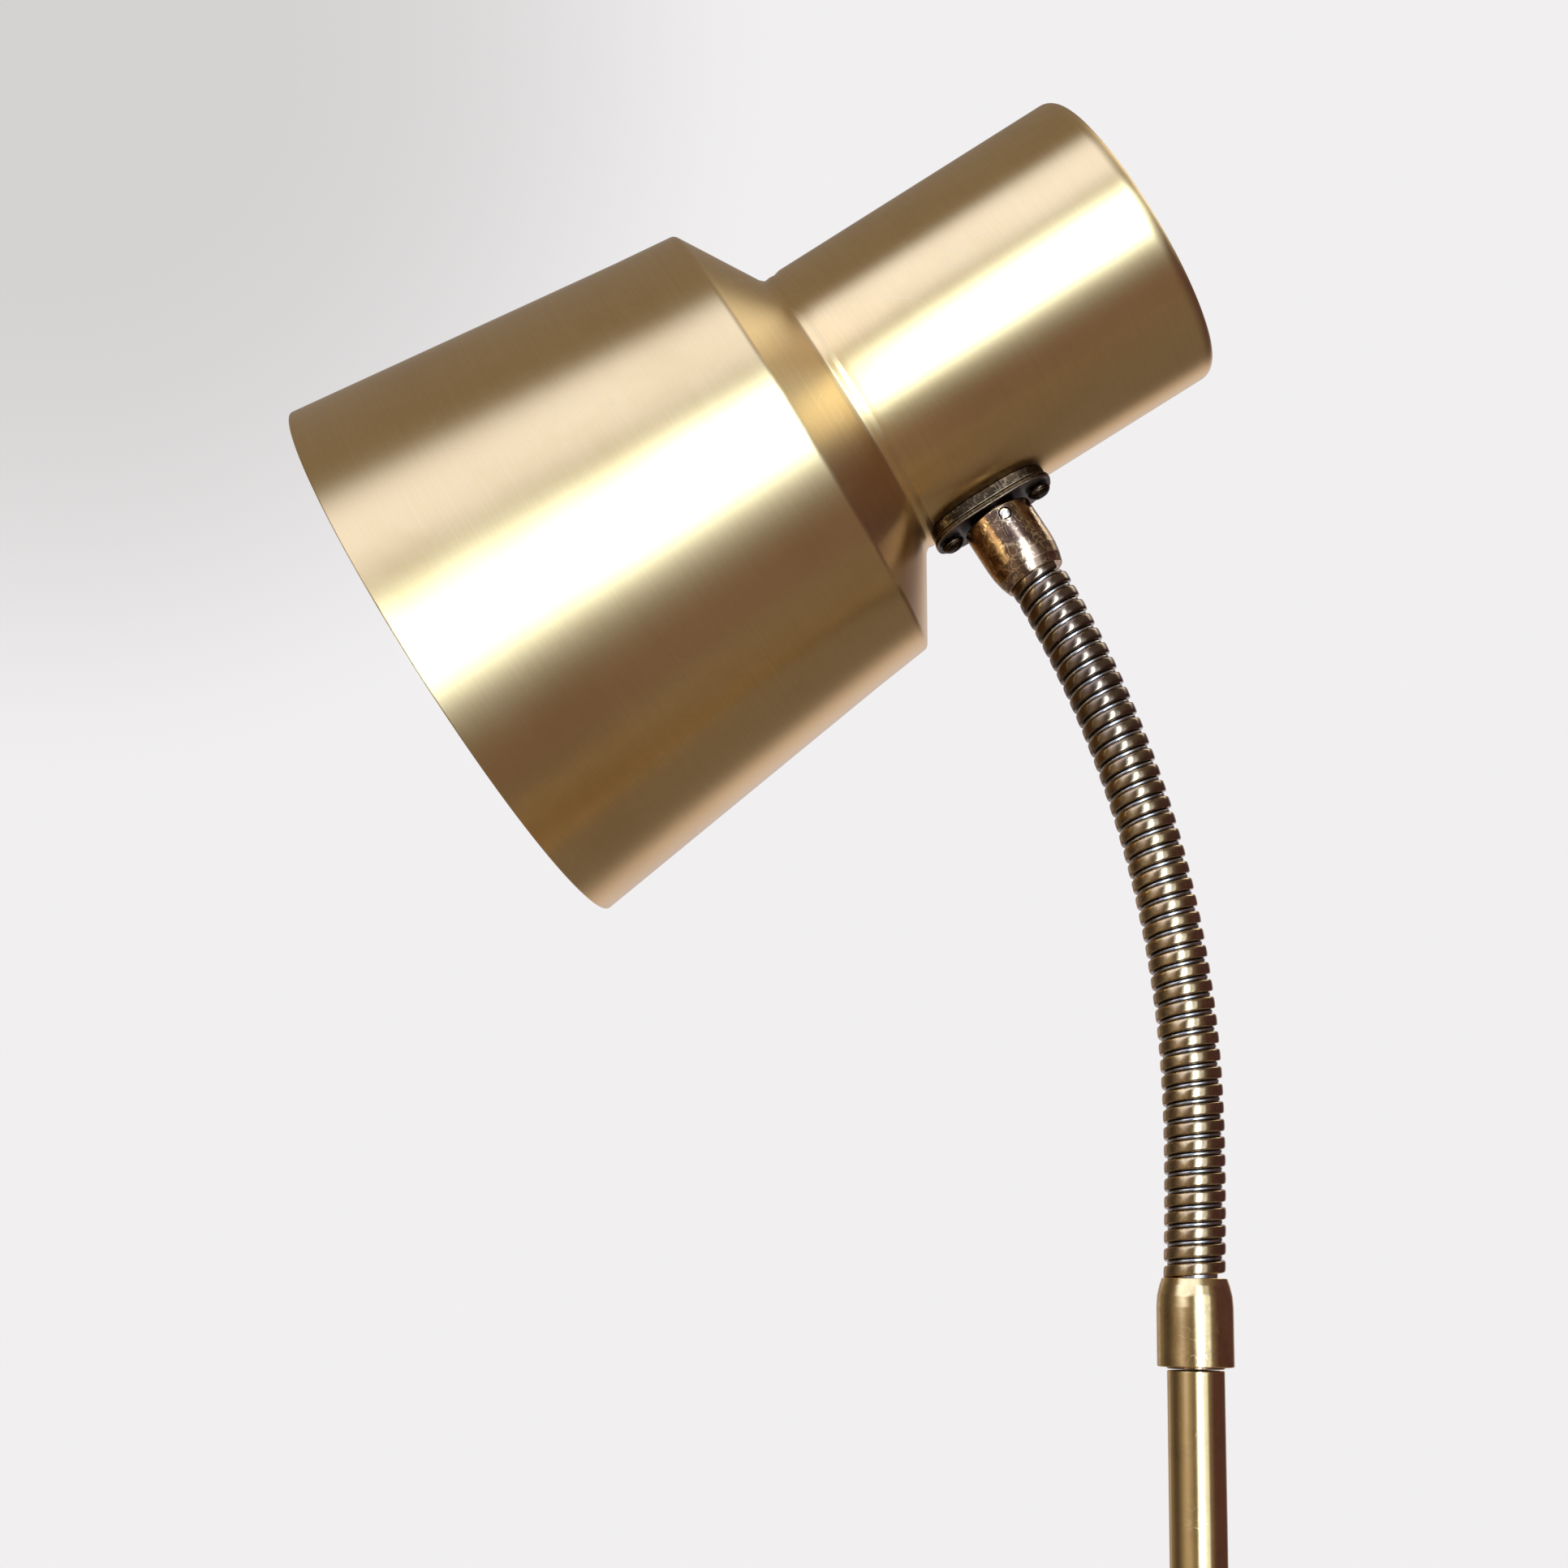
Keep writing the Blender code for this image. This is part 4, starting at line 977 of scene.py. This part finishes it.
def build_switch():
    place = moved(SWITCH_X, 0, 0)
    bezel = [(7.4, 26.6, 0.35), (8.7, 26.2, 0.5), (9.3, 24.3, 0.25), (6.3, 24.3, 0.1), (6.3, 26.2, 0.2),
             (6.6, 26.6, 0.2)]
    finish(turned("switch_bezel_turned", bezel, place, 128), "base", CAST, "polished_brass", "switch_bezel")
    button = [(0, 29.9), (1.6, 29.95), (2.8, 30.2, 0.5), (4.1, 29.2, 0.9), (4.7, 27.6, 0.8),
              (4.7, 18.0, 0.3), (0, 18.0)]
    piece = turned("switch_button_domed", button, place, 96, False)
    finish(piece, "switch", BLACK, "black_plastic", "switch_button")


CARRIED = {
    STEEL: ["base_plate", "base_screw_1", "base_screw_2", "base_screw_3", "stem_nipple", "nipple_washer",
            "nipple_nut", "plate_nut_front", "plate_nut_rear", "holder_bracket", "holder_nipple", "holder_nut",
            "switch_spring"],
    IRON: ["base_weight"],
    BLACK_INSIDE: ["switch_housing", "terminal_block"],
    CONTACT: ["lampholder_contact"],
    INSULATION: ["lead_stem", "lead_head"],
}


def dress_frame():
    """The CAD nodes that stay shown take a finish of their own."""
    for material, names in CARRIED.items():
        for name in names:
            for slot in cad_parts[name].material_slots:
                slot.material = material


# ---------------------------------------------------------------- studio


def direction(azimuth, elevation):
    """A direction from the lamp: azimuth 0 is -Y, towards the camera's side, and grows towards +X."""
    a, e = math.radians(azimuth), math.radians(elevation)
    return Vector((math.sin(a) * math.cos(e), -math.cos(a) * math.cos(e), math.sin(e)))


def light_card(tree, where, centre, along, half_long, half_wide, soft_long, soft_wide):
    """1 inside a soft-edged rectangle of directions and 0 outside it. Angles are in degrees."""
    along = (along - along.dot(centre) * centre).normalized()
    across = centre.cross(along)
    forward = tree.vector("DOT_PRODUCT", where, centre)
    masks = []
    for axis, half, soft in ((along, half_long, soft_long), (across, half_wide, soft_wide)):
        angle = tree.math("ARCTAN2", tree.vector("DOT_PRODUCT", where, axis), forward)
        angle = tree.math("ABSOLUTE", angle)
        low, high = math.radians(half - soft / 2), math.radians(half + soft / 2)
        masks.append(tree.span(angle, low, high, 1.0, 0.0))
    return tree.math("MULTIPLY", *masks)


CLEAR = (1.0, 1.0, 1.0)
SHADE_AXIS = Vector((math.sin(math.radians(SHADE_TILT)), 0, math.cos(math.radians(SHADE_TILT))))

# Soft cards that the metal reflects, with angles in degrees: a label, the centre's azimuth and
# elevation, the long direction, half the length and half the width, the softness of the ends and of
# the sides, the light it adds, and the share of the light behind it that it lets through
CARDS = [
    ("dark_left", -92.0, 2.0, UP, 36.0, 17.0, 26.0, 24.0, (0.0, 0.0, 0.0), (0.42, 0.38, 0.38)),
    ("dark_right", 108.0, 6.0, UP, 30.0, 46.0, 24.0, 26.0, (0.0, 0.0, 0.0), (0.42, 0.24, 0.34)),
    ("left_wall", -40.0, 0.0, UP, 36.0, 19.0, 26.0, 26.0, (0.26, 0.24, 0.24), CLEAR),
    ("backdrop", 180.0, 0.0, UP, 30.0, 23.0, 22.0, 18.0, (0.52, 0.50, 0.55), CLEAR),
    ("ceiling", -24.0, 36.3, SHADE_AXIS, 34.0, 20.0, 26.0, 16.0, (1.15, 1.5, 2.6), CLEAR),
    ("window_wide", 23.0, 2.0, UP, 24.0, 23.5, 20.0, 8.0, (0.95, 1.25, 1.95), CLEAR),
    ("window", 15.5, 1.0, UP, 23.0, 6.5, 20.0, 5.0, (11.0, 15.5, 22.0), CLEAR),
    ("window_glow", 24.0, -24.0, UP, 13.0, 20.0, 18.0, 14.0, (0.16, 0.25, 0.38), CLEAR),
    ("red_glow", 45.0, -48.0, UP, 12.0, 16.0, 18.0, 18.0, (0.05, 0.0, 0.0), (1.0, 0.88, 0.92)),
    ("left_back", -138.0, 8.0, UP, 20.0, 9.0, 16.0, 10.0, (0.28, 0.26, 0.28), CLEAR),
    ("skylight", 136.0, 46.0, UP, 13.0, 10.0, 14.0, 10.0, (2.4, 2.5, 2.3), CLEAR),
]
ROOM = (0.215, 0.195, 0.185)
PALE = (0.88, 0.865, 0.87)
PALE_CORNER = (0.66, 0.645, 0.64)
CORNER = Vector((-0.4122, 0.7931, 0.4481))


def build_world():
    """A pale studio behind the lamp, a dim room with soft cards for reflections, and soft light from
    above for everything matt.
    """
    world = bpy.data.worlds.new("studio")
    scene.world = world
    world.use_nodes = True
    tree = Tree(world.node_tree)
    shiny = world.node_tree.nodes["Background"]
    out = world.node_tree.nodes["World Output"]
    where = tree.node("ShaderNodeTexCoord").outputs["Generated"]
    total = tree.node("ShaderNodeRGB")
    total.outputs[0].default_value = (*ROOM, 1.0)
    total = total.outputs[0]
    for _, azimuth, elevation, along, *sizes, adds, passes in CARDS:
        mask = light_card(tree, where, direction(azimuth, elevation), along, *sizes)
        total = add_light(tree, total, mask, adds, passes)
    tree.put(shiny.inputs["Color"], total)
    matt = tree.node("ShaderNodeBackground")
    height = tree.node("ShaderNodeSeparateXYZ")
    tree.put(height.inputs[0], where)
    lift = tree.span(height.outputs["Z"], -0.3, 0.9)
    tree.put(matt.inputs["Color"], tree.mix(lift, (0.55, 0.54, 0.54), (1.15, 1.15, 1.15)))
    pale = tree.node("ShaderNodeBackground")
    near = tree.vector("DOT_PRODUCT", where, CORNER)
    tree.put(pale.inputs["Color"], tree.mix(tree.span(near, 0.96, 1.0), PALE, PALE_CORNER))
    path = tree.node("ShaderNodeLightPath")
    soft = choose(tree, path.outputs["Is Glossy Ray"], matt.outputs[0], shiny.outputs[0])
    tree.put(out.inputs["Surface"], choose(tree, path.outputs["Is Camera Ray"], soft, pale.outputs[0]))


def choose(tree, share, off, on):
    """The shader off where share is 0, and on where it is 1."""
    made = tree.node("ShaderNodeMixShader")
    for socket, value in zip(made.inputs, (share, off, on)):
        tree.put(socket, value)
    return made.outputs[0]


def add_light(tree, total, mask, adds, passes):
    """Lets a card's share of what is behind it through, and adds the card's own light."""
    if passes != CLEAR:
        total = tree.vector("MULTIPLY", total, tree.mix(mask, CLEAR, passes))
    scaled = tree.node("ShaderNodeVectorMath", operation="SCALE")
    scaled.inputs[0].default_value = adds
    tree.put(scaled.inputs["Scale"], mask)
    return tree.vector("ADD", total, scaled.outputs[0])


FLOOR_R = 1.2  # metres


def build_floor():
    """A pale round floor that fades out at its rim."""
    points = [(0.0, 0.0, 0.0)]
    rings, sides = 6, 64
    faces = []
    for ring in range(1, rings + 1):
        radius = FLOOR_R * ring / rings / MM
        for i in range(sides):
            angle = TURN * i / sides
            points.append((radius * math.cos(angle), radius * math.sin(angle), 0.0))
    for i in range(sides):
        faces.append((0, 1 + i, 1 + (i + 1) % sides))
    for ring in range(rings - 1):
        low = 1 + ring * sides
        for i in range(sides):
            j = (i + 1) % sides
            faces.append((low + i, low + sides + i, low + sides + j, low + j))
    floor = mesh_object("studio_floor", points, faces)
    made, tree, shader, where = surface("pale_floor")
    grain = tree.noise(where, 30.0, detail=3.0)
    tree.put(shader.inputs["Base Color"], tree.mix(grain, (0.80, 0.79, 0.78), (0.84, 0.83, 0.82)))
    shader.inputs["Roughness"].default_value = 0.8
    length = tree.node("ShaderNodeVectorMath", operation="LENGTH")
    tree.put(length.inputs[0], where)
    fade = tree.span(length.outputs["Value"], FLOOR_R * 0.35, FLOOR_R * 0.97, 1.0, 0.0)
    tree.put(shader.inputs["Alpha"], fade)
    floor.data.materials.append(made)
    floor.visible_glossy = False


CAMERA_PLACE = (-0.0019, -0.5420, 0.2276)
CAMERA_RIGHT = (0.98766, 0.15578, 0.01666)
CAMERA_UP = (0.01474, -0.19824, 0.98005)
CAMERA_BACK = (0.1560, -0.9677, -0.1981)
CAMERA_LENS = 57.27


def build_camera():
    data = bpy.data.cameras.new("camera")
    data.lens = CAMERA_LENS
    data.sensor_width = 36.0
    data.clip_start = 0.01
    camera = bpy.data.objects.new("camera", data)
    scene.collection.objects.link(camera)
    turn = Matrix((CAMERA_RIGHT, CAMERA_UP, CAMERA_BACK)).transposed().to_4x4()
    camera.matrix_world = Matrix.Translation(CAMERA_PLACE) @ turn
    scene.camera = camera


def main():
    build_shade()
    build_plate()
    build_plate_screws()
    build_cup()
    build_lampholder()
    build_bulb()
    build_neck()
    build_stem()
    build_base()
    build_switch()
    dress_frame()
    build_world()
    build_floor()
    build_camera()
    scene.view_settings.view_transform = "Standard"
    scene.view_settings.look = "None"


main()
